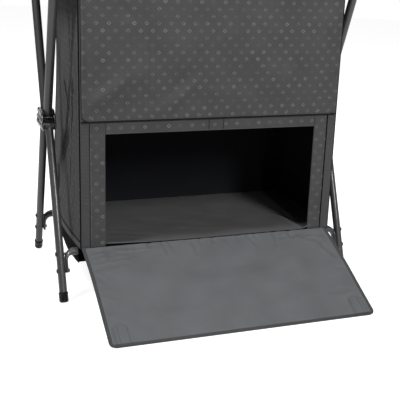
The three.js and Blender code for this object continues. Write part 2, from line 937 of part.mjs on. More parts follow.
const cupboard = new THREE.Group();
const towardsFront = -1;
const towardsBack = 1;
for (const [side, sign] of Object.entries(sides))
  cupboard.add(makeHub(side, sign));
cupboard.add(
  makeCarcass(),
  makeFrontWall(),
  makeBackWall(),
  makeDoor("lower", 0, openDoorAngle),
  makeDoor("upper", 1, 0),
  makeLowerFrame("lower_front", towardsFront),
  makeLowerFrame("lower_back", towardsBack),
  makeUpperFrame("upper_front", towardsFront),
  makeUpperFrame("upper_back", towardsBack),
  makeTabletop(),
);
cupboard.updateMatrixWorld(true);
const footprint = new THREE.Box3().setFromObject(cupboard, true);
cupboard.position.y = -(footprint.min.y + footprint.max.y) / 2;

export default cupboard;
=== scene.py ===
"""The looks of a folding camping cupboard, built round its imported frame.

The cupboard is a two-storey fabric box that hangs in a fold-flat frame of bent steel tube, under a loose
tabletop. Everything is in metres, with +Z up and the doors at -Y. Each sub-assembly is a class whose fields
are its sizes.
"""

from __future__ import annotations

import json
import logging
import math
from dataclasses import dataclass, field
from enum import Enum
from typing import Callable, Iterable, Sequence

import bmesh
import bpy
from mathutils import Matrix, Vector, noise

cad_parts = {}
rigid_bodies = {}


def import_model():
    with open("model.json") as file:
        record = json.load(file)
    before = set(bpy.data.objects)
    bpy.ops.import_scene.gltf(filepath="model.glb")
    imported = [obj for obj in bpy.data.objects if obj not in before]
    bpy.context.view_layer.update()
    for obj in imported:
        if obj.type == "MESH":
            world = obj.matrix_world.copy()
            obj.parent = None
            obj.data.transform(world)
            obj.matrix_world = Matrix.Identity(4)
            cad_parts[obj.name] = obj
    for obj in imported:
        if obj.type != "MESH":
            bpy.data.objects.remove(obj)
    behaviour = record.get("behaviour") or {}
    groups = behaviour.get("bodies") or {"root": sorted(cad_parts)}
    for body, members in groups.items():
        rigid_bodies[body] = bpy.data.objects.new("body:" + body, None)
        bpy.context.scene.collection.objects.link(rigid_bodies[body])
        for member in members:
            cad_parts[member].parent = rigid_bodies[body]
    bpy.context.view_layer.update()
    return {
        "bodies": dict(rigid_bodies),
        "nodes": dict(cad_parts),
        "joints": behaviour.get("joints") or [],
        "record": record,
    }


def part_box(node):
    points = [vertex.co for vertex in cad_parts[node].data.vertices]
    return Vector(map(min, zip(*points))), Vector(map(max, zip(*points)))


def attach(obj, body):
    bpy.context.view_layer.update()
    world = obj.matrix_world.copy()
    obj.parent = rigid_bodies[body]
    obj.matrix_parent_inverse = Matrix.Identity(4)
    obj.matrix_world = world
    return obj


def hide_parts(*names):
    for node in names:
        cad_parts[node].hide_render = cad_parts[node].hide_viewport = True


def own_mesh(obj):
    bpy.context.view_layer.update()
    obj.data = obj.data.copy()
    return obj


LOG = logging.getLogger("cupboard")
GAP = 0.0003  # between pieces that touch
PROBE = 0.001  # how far out of a surface its outward side is felt for
PAINTED_FOLD_SHADE = "valley"  # the attribute that tells how deep in a fold a point of cloth lies, which sets how strong the painted shade there is

BMesh = bmesh.types.BMesh
Vert = bmesh.types.BMVert
Edge = bmesh.types.BMEdge
Face = bmesh.types.BMFace
Material = bpy.types.Material
Piece = bpy.types.Object
Socket = bpy.types.NodeSocket
Pair = tuple[float, float]
Surface = Callable[[float, float, float], Vector]  # across and up a cut, and out of it


class Named(Enum):
    """A choice whose members have a word in the nodes' names."""

    @property
    def word(self) -> str:
        """The member's word."""
        return self.name.lower()


class Side(Named):
    """The cupboard's left and right, as signs of X."""

    LEFT = -1
    RIGHT = 1


class Depth(Named):
    """The cupboard's front and back, as signs of Y."""

    FRONT = -1
    BACK = 1


class Storey(Named):
    """The two storeys of the fabric box."""

    LOWER = 0
    UPPER = 1


class Pattern(Enum):
    """What a finish's pattern follows."""

    SPACE = "Object"
    CUT = "UV"


def tint(code: str) -> tuple[float, float, float, float]:
    """Turns a colour such as 4a4a4b into Blender's linear one.

    Args:
        code: six hexadecimal digits, as a screen shows the colour.

    Returns:
        The linear red, green, blue and an alpha of 1.
    """
    shares = [int(code[k : k + 2], 16) / 255 for k in (0, 2, 4)]
    linear = [s / 12.92 if s <= 0.04045 else ((s + 0.055) / 1.055) ** 2.4 for s in shares]
    return (linear[0], linear[1], linear[2], 1.0)


class Board:
    """The node tree of one finish, with short calls for the nodes that the finishes share."""

    def __init__(self, name: str) -> None:
        """Starts a material of this name with its shader."""
        self.material = bpy.data.materials.new(name)
        self.material.use_nodes = True
        self.tree = self.material.node_tree
        self.shader = self.tree.nodes["Principled BSDF"]

    def node(
        self, kind: str, inputs: dict[int | str, object] | None = None, **settings: object
    ) -> bpy.types.Node:
        """Adds a node.

        Args:
            kind: the node's type name.
            inputs: what goes into its sockets, each a socket to link or a value.
            settings: the node's own properties.

        Returns:
            The node.
        """
        made = self.tree.nodes.new(kind)
        for key, value in settings.items():
            setattr(made, key, value)
        for key, value in (inputs or {}).items():
            if isinstance(value, Socket):
                self.tree.links.new(value, made.inputs[key])
            else:
                made.inputs[key].default_value = value
        return made

    def place(self, pattern: Pattern, scale: Sequence[float] = (1, 1, 1)) -> Socket:
        """The coordinates that a pattern follows, scaled along each axis."""
        source = self.node("ShaderNodeTexCoord").outputs[pattern.value]
        return self.node("ShaderNodeMapping", {"Vector": source, "Scale": tuple(scale)}).outputs[0]

    def split(self, vector: Socket) -> tuple[Socket, Socket, Socket]:
        """The three numbers of a vector."""
        parts = self.node("ShaderNodeSeparateXYZ", {0: vector}).outputs
        return parts[0], parts[1], parts[2]

    def noise(self, vector: Socket, scale: float, detail: float = 2.0, roughness: float = 0.5) -> Socket:
        """Even noise from 0 to 1."""
        inputs = {"Vector": vector, "Scale": scale, "Detail": detail, "Roughness": roughness}
        return self.node("ShaderNodeTexNoise", inputs).outputs[0]

    def math(self, operation: str, first: Socket | float, second: Socket | float = 0.0) -> Socket:
        """One sum of two numbers."""
        return self.node("ShaderNodeMath", {0: first, 1: second}, operation=operation).outputs[0]

    def odd(self, value: Socket) -> Socket:
        """1 where a number's whole part is odd, and 0 where it is even."""
        return self.math("MODULO", self.math("ABSOLUTE", self.math("FLOOR", value)), 2.0)

    def spread(
        self, value: Socket, low: float, high: float, to_low: float = 0.0, to_high: float = 1.0
    ) -> Socket:
        """Maps a range of a number to another, and holds it there."""
        inputs = {0: value, 1: low, 2: high, 3: to_low, 4: to_high}
        return self.node("ShaderNodeMapRange", inputs, clamp=True).outputs[0]

    def mix(self, share: Socket, first: object, second: object) -> Socket:
        """A colour between two, each a colour or a socket."""
        inputs = {0: share, 6: first, 7: second}
        return self.node("ShaderNodeMix", inputs, data_type="RGBA").outputs[2]

    def bump(self, height: Socket, distance: float, under: Socket | None = None) -> Socket:
        """A normal that follows a height, on top of another normal if one is given."""
        inputs: dict[int | str, object] = {"Height": height, "Distance": distance}
        if under is not None:
            inputs["Normal"] = under
        return self.node("ShaderNodeBump", inputs).outputs[0]

    def dress(self, **sockets: object) -> Material:
        """Sets the shader's sockets, named in lower case with underscores.

        Args:
            sockets: a value or a socket for each.

        Returns:
            The finished material.
        """
        known = {s.name.lower().replace(" ", "_"): s for s in self.shader.inputs}
        for key, value in sockets.items():
            if isinstance(value, Socket):
                self.tree.links.new(value, known[key])
            else:
                known[key].default_value = value
        return self.material


@dataclass(frozen=True)
class PowderCoat:
    """Satin grey powder coat on steel tube, with its fine orange peel and a few rubbed spots."""

    colour: str = "272728"
    worn: str = "3a3a3b"
    worn_share: float = 0.35  # how much of that colour a rubbed spot shows
    peel: float = 900.0  # grains per metre
    relief: float = 0.00006
    rubs: float = 46.0  # spots per metre
    clouds: float = 9.0  # per metre
    low: float = 0.55  # roughness where it is rubbed
    high: float = 0.66

    def material(self, name: str) -> Material:
        """The finish as a material."""
        board = Board(name)
        space = board.place(Pattern.SPACE)
        rub = board.spread(board.noise(space, self.rubs, 4, 0.65), 0.6, 0.78)
        return board.dress(
            base_color=board.mix(
                board.math("MULTIPLY", rub, self.worn_share), tint(self.colour), tint(self.worn)
            ),
            roughness=board.spread(board.noise(space, self.clouds), 0.3, 0.7, self.low, self.high),
            normal=board.bump(board.noise(space, self.peel, 3), self.relief),
            metallic=0.1,
            specular_ior_level=0.5,
            coat_weight=0.4,
            coat_roughness=0.1,
        )


@dataclass(frozen=True)
class Moulded:
    """Moulded plastic or rubber: a fine spark-eroded grain, a little dust and uneven gloss."""

    colour: str
    dust: str
    low: float  # roughness where it is rubbed
    high: float
    gloss: float = 0.5
    grain: float = 1400.0  # per metre
    clouds: float = 38.0  # per metre
    relief: float = 0.00005

    def material(self, name: str) -> Material:
        """The finish as a material."""
        board = Board(name)
        space = board.place(Pattern.SPACE)
        cloud = board.noise(space, self.clouds, 4, 0.6)
        return board.dress(
            base_color=board.mix(
                board.spread(cloud, 0.55, 0.85, 0.0, 0.5), tint(self.colour), tint(self.dust)
            ),
            roughness=board.spread(cloud, 0.3, 0.7, self.low, self.high),
            normal=board.bump(board.noise(space, self.grain), self.relief),
            specular_ior_level=self.gloss,
        )


@dataclass(frozen=True)
class Cloth:
    """Woven cloth along its own cut: weave, heather, soft clouds, small lozenges where it is printed, and
    painted shade deep in its folds where a mesh says how deep they are.
    """

    colour: str
    light: str
    rough: float = 0.85
    weave: float = 0.0009
    relief: float = 0.00010
    heather: float = 0.5
    flecks: float = 520.0  # per metre
    clouds: float = 14.0  # per metre
    sheen: float = 0.08
    gloss: float = 0.2
    valley: str = ""  # the colour of the painted shade deep in its folds, where a mesh says how deep it lies
    print_colour: str = ""
    print_relief: float = 0.6  # of the weave's
    print_pitch: Pair = (0.0265, 0.0150)
    print_half: Pair = (0.0038, 0.0034)  # half of a lozenge
    line_rim: float = 0.34  # where a lozenge's line fades out, as a share of its half width
    line_core: float = 0.12  # where it is fully inked
    dot_place: float = 0.75  # from the middle of a pair of dots to each, in the same shares
    dot_rim: float = 0.14  # the same distances of a dot, squared
    dot_core: float = 0.04
    faint: float = 0.45  # how strong a lozenge between two dots is
    ink: float = 34.0  # patches of strong and weak ink per metre

    def material(self, name: str) -> Material:
        """The finish as a material."""
        board = Board(name)
        cut = board.place(Pattern.CUT)
        across, up, _ = board.split(cut)
        turn = math.pi / self.weave
        warp = board.math("SINE", board.math("MULTIPLY", across, turn))
        weft = board.math("SINE", board.math("MULTIPLY", up, turn))
        height = board.math("MULTIPLY", warp, weft)
        flecks = board.noise(board.place(Pattern.CUT, (1.0, 1.6, 1.0)), self.flecks, 3, 0.7)
        clouds = board.noise(cut, self.clouds, 3, 0.55)
        blend = board.math("MULTIPLY", board.spread(flecks, 0.3, 0.7), self.heather)
        share = board.math("ADD", blend, board.spread(clouds, 0.3, 0.7, 0.0, 1.0 - self.heather))
        colour = board.mix(share, tint(self.colour), tint(self.light))
        # painted shade: the colour is darkened deep in the cloth's folds
        if self.valley:
            sunk = board.node("ShaderNodeAttribute", attribute_name=PAINTED_FOLD_SHADE).outputs["Fac"]
            colour = board.mix(board.spread(sunk, 0.2, 0.7, 0.0, 0.97), colour, tint(self.valley))
        if self.print_colour:
            mark = self._lozenges(board, across, up)
            colour = board.mix(mark, colour, tint(self.print_colour))
            height = board.math("ADD", height, board.math("MULTIPLY", mark, self.print_relief))
        return board.dress(
            base_color=colour,
            roughness=board.spread(clouds, 0.3, 0.7, self.rough - 0.06, self.rough + 0.04),
            normal=board.bump(height, self.relief),
            sheen_weight=self.sheen,
            sheen_roughness=0.5,
            specular_ior_level=self.gloss,
        )

    def _lozenges(self, board: Board, across: Socket, up: Socket) -> Socket:
        """Rows of small lozenge outlines, with two rows in four of dots and faint ones, unevenly inked."""
        wide, tall = self.print_pitch
        row = board.math("DIVIDE", up, tall)
        shift = board.math("MULTIPLY", board.odd(row), 0.5)
        column = board.math("ADD", board.math("DIVIDE", across, wide), shift)
        right = board.math("SUBTRACT", board.math("FRACT", column), 0.5)
        above = board.math("SUBTRACT", board.math("FRACT", row), 0.5)
        reach_x = board.math("MULTIPLY", board.math("ABSOLUTE", right), wide / self.print_half[0])
        reach_y = board.math("MULTIPLY", board.math("ABSOLUTE", above), tall / self.print_half[1])
        edge = board.math("ABSOLUTE", board.math("SUBTRACT", board.math("ADD", reach_x, reach_y), 1.0))
        line = board.spread(edge, self.line_rim, self.line_core)
        dot_x = board.math("SUBTRACT", reach_x, self.dot_place)
        squares = [board.math("MULTIPLY", part, part) for part in (dot_x, reach_y)]
        dots = board.spread(board.math("ADD", *squares), self.dot_rim, self.dot_core)
        dotted = board.odd(board.math("DIVIDE", row, 2.0))
        lines = board.math("MULTIPLY", line, board.math("SUBTRACT", 1.0, dotted))
        faint = board.math("MULTIPLY", line, self.faint)
        pairs = board.math("MULTIPLY", board.math("MAXIMUM", dots, faint), dotted)
        inked = board.spread(board.noise(board.place(Pattern.CUT), self.ink), 0.35, 0.65, 0.12, 1.0)
        return board.math("MULTIPLY", board.math("ADD", lines, pairs), inked)


@dataclass(frozen=True)
class Ribbed:
    """Woven tape or webbing along its own cut: ribs across its length, and weaker ones along it, with painted
    shade in the grooves and a painted highlight on the crests.
    """

    colour: str
    light: str
    rib: float
    relief: float = 0.0003
    rough: float = 0.9
    cross: float = 0.35  # how strong the ribs of the other direction are
    sheen: float = 0.05
    gloss: float = 0.12

    def material(self, name: str) -> Material:
        """The finish as a material."""
        board = Board(name)
        cut = board.place(Pattern.CUT)
        across, along, _ = board.split(cut)
        ribs = board.math("SINE", board.math("MULTIPLY", along, 2 * math.pi / self.rib))
        ends = board.math("SINE", board.math("MULTIPLY", across, 4 * math.pi / self.rib))
        height = board.math("ADD", ribs, board.math("MULTIPLY", ends, self.cross))
        fuzz = board.noise(cut, 900, 3, 0.7)
        # painted shade and highlight: the colour is lighter where the ribs are high and darker in the grooves
        # between them
        painted_rib_light = board.spread(height, -1.0, 1.2, 0.0, 0.6)
        share = board.math("ADD", painted_rib_light, board.math("MULTIPLY", fuzz, 0.4))
        height = board.math("ADD", height, board.math("MULTIPLY", fuzz, 0.5))
        return board.dress(
            base_color=board.mix(share, tint(self.colour), tint(self.light)),
            roughness=self.rough,
            normal=board.bump(height, self.relief),
            sheen_weight=self.sheen,
            specular_ior_level=self.gloss,
        )


@dataclass(frozen=True)
class Laminate:
    """Fine-grained grey laminate on the tabletop, with faint rub marks from use."""

    colour: str = "5b5c5f"
    light: str = "6a6b6e"
    relief: float = 0.00004
    gloss: float = 0.1

    def material(self, name: str) -> Material:
        """The finish as a material."""
        board = Board(name)
        grain = board.noise(board.place(Pattern.SPACE, (1.0, 9.0, 1.0)), 120, 5, 0.65)
        speck = board.math("MULTIPLY", board.noise(board.place(Pattern.SPACE), 1500), 0.4)
        rub = board.noise(board.place(Pattern.SPACE, (6.0, 1.0, 1.0)), 11, 5, 0.7)
        share = board.math("ADD", board.spread(grain, 0.3, 0.7, 0.0, 0.6), speck)
        return board.dress(
            base_color=board.mix(share, tint(self.colour), tint(self.light)),
            roughness=board.spread(rub, 0.35, 0.65, 0.78, 0.84),
            normal=board.bump(board.math("ADD", grain, speck), self.relief),
            specular_ior_level=self.gloss,
        )


class Wardrobe:
    """Every finish of the cupboard, made once."""

    def __init__(self) -> None:
        """Makes the materials."""
        self.tube = PowderCoat().material("tube_powder_coat")
        self.plastic = Moulded("0a0a0b", "161617", 0.2, 0.34).material("hub_nylon")
        self.rubber = Moulded("050506", "0d0d0e", 0.2, 0.32, 0.2).material("foot_rubber")
        self.rivet = Moulded("090909", "151516", 0.2, 0.32).material("rivet_black_coat")
        self.edge = Moulded("18181a", "28282a", 0.38, 0.52).material("table_edge_plastic")
        # the printed canvas gets near-black painted shade deep in the side walls' folds
        self.outer = Cloth(
            "39393a", "474748", sheen=0.03, gloss=0.06, valley="050506", print_colour="6e6e6e"
        ).material("outer_canvas")
        self.plain = Cloth("2b2b2c", "38383a").material("plain_canvas")
        self.rolled = Cloth("3c3c3d", "474748", sheen=0.05, gloss=0.1).material("rolled_edge")
        # the doors' bound seams are dark grey, which also paints the shadow that each door's edge casts on
        # its seam
        self.seam = Ribbed("151516", "212122", 0.0020, 0.0002, sheen=0.0, gloss=0.05).material("door_seam")
        fine = {"weave": 0.0007, "heather": 0.3}
        self.lining = Cloth("444547", "4f5052", rough=0.66, sheen=0.04, **fine).material("door_lining")
        self.base = Cloth("424243", "4e4e4f", rough=0.6, sheen=0.03, **fine).material("base_lining")
        self.reverse = Cloth(
            "17181b", "1f2023", rough=0.8, weave=0.0007, sheen=0.0, gloss=0.05
        ).material("dark_reverse")
        self.webbing = Ribbed("050506", "0e0e0f", 0.0022, sheen=0.0, gloss=0.03).material("black_webbing")
        self.binding = Ribbed("2d2e2f", "48494a", 0.0024, 0.0003, cross=1.0).material("door_binding_tape")
        self.tape = Ribbed("343534", "515251", 0.0030, 0.0004, cross=0.9, gloss=0.2).material("loop_tape")
        # the front corners' piping is near black, which also paints the shade of the recessed corner seam
        self.piping = Ribbed("040405", "0b0b0c", 0.0016, 0.0002, sheen=0.0).material("corner_piping")
        self.laminate = Laminate().material("table_laminate")
        self.thread = Moulded("2c2c2d", "484849", 0.7, 0.85, 0.2).material("sewing_thread")


def settle(bm: BMesh, name: str, materials: Sequence[Material], sharp: float = 32) -> Piece:
    """Makes an object of a finished bmesh.

    Args:
        bm: the mesh, which is freed.
        name: the piece's name.
        materials: its finishes, in the order of its material numbers.
        sharp: the angle in degrees past which an edge is shaded sharp.

    Returns:
        The object, at the origin.
    """
    mesh = bpy.data.meshes.new(name)
    bm.to_mesh(mesh)
    bm.free()
    for material in materials:
        mesh.materials.append(material)
    for face in mesh.polygons:
        face.use_smooth = True
    mesh.set_sharp_from_angle(angle=math.radians(sharp))
    made = bpy.data.objects.new(name, mesh)
    bpy.context.scene.collection.objects.link(made)
    return made


def apply_modifiers(piece: Piece, sharp: float = 32) -> None:
    """Replaces a piece's mesh by what its modifiers make of it."""
    bpy.context.view_layer.update()
    shaped = piece.evaluated_get(bpy.context.evaluated_depsgraph_get())
    mesh = bpy.data.meshes.new_from_object(shaped)
    piece.modifiers.clear()
    piece.data = mesh
    mesh.name = piece.name
    mesh.set_sharp_from_angle(angle=math.radians(sharp))


def thicken(piece: Piece, thickness: float, outward: float = 1.0, inner: int = 0) -> None:
    """Gives a sheet its thickness.

    Args:
        piece: a sheet whose faces point out.
        thickness: in metres.
        outward: 1 to grow out of the sheet, -1 to grow behind it.
        inner: how many material numbers further the far face's finish is.
    """
    solid = piece.modifiers.new("thickness", "SOLIDIFY")
    solid.thickness = thickness
    solid.offset = outward
    solid.material_offset = inner
    solid.use_even_offset = False
    apply_modifiers(piece)


def fit(piece: Piece, body: str, slot: str, *nodes: str) -> Piece:
    """Fastens a piece to its body and lets it stand for its nodes."""
    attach(piece, body)
    if nodes:
        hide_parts(*nodes)
    LOG.info("%s rides on %s", piece.name, body)
    return piece


def make(bm: BMesh, node: str, finish: Material, body: str, slot: str) -> Piece:
    """Makes the piece that stands for a node, of one finish."""
    return fit(settle(bm, f"{node}_piece", [finish]), body, slot, node)


def only(kind: type, geom: Iterable[Vert | Edge | Face]) -> list:
    """The parts of one kind, such as the edges, in what an operator returned."""
    return [part for part in geom if isinstance(part, kind)]


def merge(bm: BMesh, part: BMesh) -> None:
    """Adds one bmesh to another and frees it."""
    mesh = bpy.data.meshes.new("part")
    part.to_mesh(mesh)
    part.free()
    bm.from_mesh(mesh)
    bpy.data.meshes.remove(mesh)


def slice_at(bm: BMesh, at: Sequence[float], way: Sequence[float], **settings: bool) -> list[Edge]:
    """Cuts a mesh along a plane.

    Args:
        bm: the mesh.
        at: a point of the plane.
        way: the plane's normal.
        settings: clear_outer or clear_inner, to take away what lies on that side.

    Returns:
        The edges along the cut.
    """
    geom = bm.verts[:] + bm.edges[:] + bm.faces[:]
    made = bmesh.ops.bisect_plane(bm, geom=geom, plane_co=at, plane_no=way, **settings)
    return only(Edge, made["geom_cut"])


def cut_out(
    bm: BMesh, columns: Sequence[float], rows: Sequence[float], hole: Callable[[Vector], bool]
) -> None:
    """Slices a flat cut at columns and rows, and takes away the faces whose middles lie in a hole."""
    for x in columns:
        slice_at(bm, (x, 0, 0), (1, 0, 0))
    for y in rows:
        slice_at(bm, (0, y, 0), (0, 1, 0))
    holes = [face for face in bm.faces if hole(face.calc_center_median())]
    bmesh.ops.delete(bm, geom=holes, context="FACES")


def draw_out(bm: BMesh, edges: list[Edge], way: Vector, steps: int) -> list[Edge]:
    """Draws a line of edges out into faces, in even steps, and returns its last edges."""
    for _ in range(steps):
        made = bmesh.ops.extrude_edge_only(bm, edges=edges)["geom"]
        verts = only(Vert, made)
        edges = [edge for edge in only(Edge, made) if all(vert in verts for vert in edge.verts)]
        bmesh.ops.translate(bm, vec=way / steps, verts=verts)
    return edges


def tidy_normals(bm: BMesh) -> None:
    """Merges doubles and turns the faces of a closed shape outwards."""
    bmesh.ops.remove_doubles(bm, verts=bm.verts[:], dist=1e-6)
    bmesh.ops.recalc_face_normals(bm, faces=bm.faces[:])


def cuboid(low: Vector, high: Vector) -> BMesh:
    """A box between two corners."""
    bm = bmesh.new()
    size = Matrix.Diagonal((*(high - low), 1))
    bmesh.ops.create_cube(bm, size=1, matrix=Matrix.Translation((low + high) / 2) @ size)
    return bm


def bevel(bm: BMesh, edges: list[Edge], width: float, segments: int) -> None:
    """Rounds some edges."""
    bmesh.ops.bevel(
        bm,
        geom=edges,
        offset=width,
        segments=segments,
        profile=0.5,
        affect="EDGES",
        material=-1,
        clamp_overlap=True,
    )


def round_edges(bm: BMesh, width: float, segments: int = 2, least: float = 40) -> None:
    """Bevels every edge that turns by more than an angle in degrees."""
    limit = math.radians(least)
    turned = [e for e in bm.edges if len(e.link_faces) == 2 and e.calc_face_angle() > limit]
    bevel(bm, turned, width, segments)


def quarter(centre: Pair, across: float, up: float, steps: int = 5) -> list[Pair]:
    """A quarter of an ellipse, from straight over or under its centre out to its side."""
    turns = [math.pi / 2 * k / steps for k in range(steps + 1)]
    return [(centre[0] + across * math.sin(turn), centre[1] + up * math.cos(turn)) for turn in turns]


def lathe(profile: Sequence[Pair], steps: int) -> BMesh:
    """Spins a profile of radius and height about Z.

    Args:
        profile: points from the axis or a rim to the axis or a rim, as radius and height.
        steps: faces round the axis.

    Returns:
        The closed shape.
    """
    bm = bmesh.new()
    points = [bm.verts.new((r, 0, z)) for r, z in profile]
    edges = [bm.edges.new(pair) for pair in zip(points, points[1:])]
    bmesh.ops.spin(
        bm,
        geom=points + edges,
        cent=(0, 0, 0),
        axis=(0, 0, 1),
        angle=2 * math.pi,
        steps=steps,
        use_merge=True,
    )
    tidy_normals(bm)
    return bm


class TubeBender:
    """Bends a round tube: a ring that is drawn along straight runs and spun round bends."""

    def __init__(self, diameter: float, wall: float, sides: int = 32) -> None:
        """Takes the tube's size."""
        self.radius = diameter / 2
        self.wall = wall
        self.sides = sides
        self.bm = bmesh.new()
        self.ring: list[Edge] = []

    def start(self, at: Vector, heading: Vector) -> "TubeBender":
        """Sets the open end where the tube starts."""
        turn = heading.to_track_quat("Z", "Y").to_matrix().to_4x4()
        made = bmesh.ops.create_circle(
            self.bm, segments=self.sides, radius=self.radius, matrix=Matrix.Translation(at) @ turn
        )
        self.ring = list({e for v in made["verts"] for e in v.link_edges})
        return self

    def straight(self, way: Vector, steps: int = 1) -> "TubeBender":
        """Draws the ring along a straight run."""
        self.ring = draw_out(self.bm, self.ring, way, steps)
        return self

    def bend(self, centre: Vector, axis: Vector, angle: float, steps: int = 14) -> "TubeBender":
        """Spins the ring round a bend."""
        geom = self.ring + list({v for e in self.ring for v in e.verts})
        made = bmesh.ops.spin(self.bm, geom=geom, cent=centre, axis=axis, angle=angle, steps=steps)
        self.ring = only(Edge, made["geom_last"])
        return self

    def cut(self) -> BMesh:
        """Closes the walls and returns the hollow tube."""
        tidy_normals(self.bm)
        bmesh.ops.solidify(self.bm, geom=self.bm.faces[:], thickness=self.wall)
        tidy_normals(self.bm)
        return self.bm


def flat_cut(low: Pair, high: Pair, columns: int, rows: int) -> BMesh:
    """A flat rectangle of cloth with X across and Y up, in rows of small faces."""
    bm = bmesh.new()
    bmesh.ops.create_grid(bm, x_segments=columns, y_segments=rows, size=0.5)
    wide, tall = high[0] - low[0], high[1] - low[1]
    for vert in bm.verts:
        vert.co = Vector((low[0] + (vert.co.x + 0.5) * wide, low[1] + (vert.co.y + 0.5) * tall, 0))
    return bm


def write_cut(bm: BMesh, place: Callable[[Vector], Sequence[float]]) -> None:
    """Writes a mesh's UV map, in metres along its cloth, from where each point is."""
    cut = bm.loops.layers.uv.new("cut")
    for face in bm.faces:
        for loop in face.loops:
            loop[cut].uv = place(loop.vert.co)


def lay(bm: BMesh, surface: Surface, lift: float = 0.0, tall: float = 1.0) -> None:
    """Writes a flat cut's place as its UV map and moves it onto a surface, facing out.

    Args:
        bm: the flat cut.
        surface: the place of each point of the cut.
        lift: how far out of the surface it lies.
        tall: how many metres of cloth a unit of the cut's height is.
    """
    write_cut(bm, lambda spot: (spot.x, spot.y * tall))
    bm.faces.ensure_lookup_table()
    central = len(bm.faces) // 2
    middle = bm.faces[central].calc_center_median()
    out = surface(middle.x, middle.y, lift + PROBE) - surface(middle.x, middle.y, lift)
    for vert in bm.verts:
        vert.co = surface(vert.co.x, vert.co.y, lift)
    bm.normal_update()
    if bm.faces[central].normal.dot(out) < 0:
        bmesh.ops.reverse_faces(bm, faces=bm.faces[:])


def cloth_grid(surface: Surface, low: Pair, high: Pair, cell: float, lift: float = 0.0) -> BMesh:
    """Cuts a rectangle of cloth and lays it on a surface, with the cut's metres as its UV map.

    Args:
        surface: the place of each point of the cut.
        low: the cut's lower left corner.
        high: its upper right corner.
        cell: about how wide each face is.
        lift: how far out of the surface it lies.

    Returns:
        The open sheet, its faces pointing out of the surface.
    """
    columns, rows = (max(1, round((end - start) / cell)) for start, end in zip(low, high))
    bm = flat_cut(low, high, columns, rows)
    lay(bm, surface, lift)
    return bm


@dataclass(frozen=True)
class Crease:
    """One soft fold in a cloth, along a line of its cut."""

    start: Pair
    end: Pair
    width: float
    height: float

    def rise(self, across: float, up: float) -> float:
        """How far the fold lifts the cloth at a point of the cut."""
        line = Vector((self.end[0] - self.start[0], self.end[1] - self.start[1]))
        spot = Vector((across - self.start[0], up - self.start[1]))
        share = spot.dot(line) / line.length_squared
        held = min(max(share, 0.0), 1.0)
        away = (spot - line * held).length
        if away > 4 * self.width:
            return 0.0
        fade = math.sin(math.pi * min(max(share, 0.02), 0.98)) ** 0.6
        ridge = math.exp(-((away / self.width) ** 2))
        trough = math.exp(-(((away - 1.9 * self.width) / self.width) ** 2))
        return self.height * fade * (ridge - 0.3 * trough)


Folds = tuple[Crease, ...]


def creases(*rows: tuple[float, float, float, float, float, float]) -> Folds:
    """Folds, each from a row in millimetres of its start, its end, its width and its height."""
    metres = ([number / 1000 for number in row] for row in rows)
    return tuple(Crease((a, b), (c, d), width, height) for a, b, c, d, width, height in metres)


def creases_rise(folds: Folds, across: float, up: float) -> float:
    """How far several folds together lift the cloth."""
    return sum(crease.rise(across, up) for crease in folds)


def ripple(across: float, up: float, scale: float, height: float, seed: float) -> float:
    """Soft uneven waves of a cloth, the same each run."""
    return height * noise.noise(Vector((across * scale, up * scale, seed)))


class Stitches:
    """Rows of machine stitches on a surface, gathered in one mesh."""

    def __init__(self, length: float = 0.0032, pitch: float = 0.0045, thread: float = 0.00055) -> None:
        """Takes the stitches' sizes."""
        self.length = length
        self.pitch = pitch
        self.thread = thread
        self.bm = bmesh.new()

    def row(self, surface: Surface, start: Pair, end: Pair, lift: float) -> None:
        """Sews one straight row of the cut.

        Args:
            surface: the place of each point of the cut.
            start: where the row starts on the cut.
            end: where it ends.
            lift: how far out of the surface the cloth's face lies.
        """
        way = Vector((end[0] - start[0], end[1] - start[1]))
        count = max(1, int(way.length / self.pitch))
        part = bmesh.new()
        for k in range(count):
            first = Vector(start) + way * (k / count)
            last = first + way.normalized() * self.length
            a = surface(first.x, first.y, lift)
            b = surface(last.x, last.y, lift)
            out = (surface(first.x, first.y, lift + PROBE) - a).normalized()
            along = (b - a).normalized()
            across = out.cross(along).normalized()
            turn = Matrix((along, across, across.cross(-along))).transposed().to_4x4()
            size = Matrix.Diagonal((self.length / 2, self.thread / 2, self.thread / 2, 1))
            at = Matrix.Translation((a + b) / 2)
            bmesh.ops.create_icosphere(part, subdivisions=1, radius=1, matrix=at @ turn @ size)
        merge(self.bm, part)

    def finish(self, name: str, wardrobe: Wardrobe) -> Piece:
        """The stitches as one piece."""
        return settle(self.bm, name, [wardrobe.thread], 80)


@dataclass(frozen=True)
class Places:
    """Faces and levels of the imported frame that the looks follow."""

    side: float  # the fabric box's side, from the middle
    front: float
    back: float
    bottom: float
    top: float
    floor: float
    shelf: float
    lower_pivot: Pair  # from the middle, and height
    upper_pivot: Pair
    hinge: float  # the doors' fold line, along Y
    hinge_low: float
    hinge_high: float

    @classmethod
    def read(cls, frame: dict) -> "Places":
        """Takes them from the frame.


        Returns:
            The places.
        """
        joints = {j["name"]: j["pos_m"] for j in frame["joints"]}
        low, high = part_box("fabric_front")
        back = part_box("fabric_back")[1].y
        middle = (low.y + back) / 2
        return cls(
            side=high.x,
            front=low.y,
            back=back,
            bottom=low.z,
            top=high.z,
            floor=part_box("fabric_floor")[1].z,
            shelf=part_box("fabric_shelf")[1].z,
            lower_pivot=(middle - joints["fold"][1], joints["fold"][2]),
            upper_pivot=(middle - joints["upper_front_fold"][1], joints["upper_front_fold"][2]),
            hinge=joints["lower_door_hinge"][1],
            hinge_low=joints["lower_door_hinge"][2],
            hinge_high=joints["upper_door_hinge"][2],
        )

    @property
    def middle(self) -> float:
        """The middle of the fabric box, along Y."""
        return (self.front + self.back) / 2

    @property
    def depth(self) -> float:
        """The fabric box's depth."""
        return self.back - self.front

    @property
    def height(self) -> float:
        """The fabric box's height."""
        return self.top - self.bottom


@dataclass
class Assembly:
    """A part of the cupboard that builds and dresses its own pieces."""

    places: Places
    wardrobe: Wardrobe


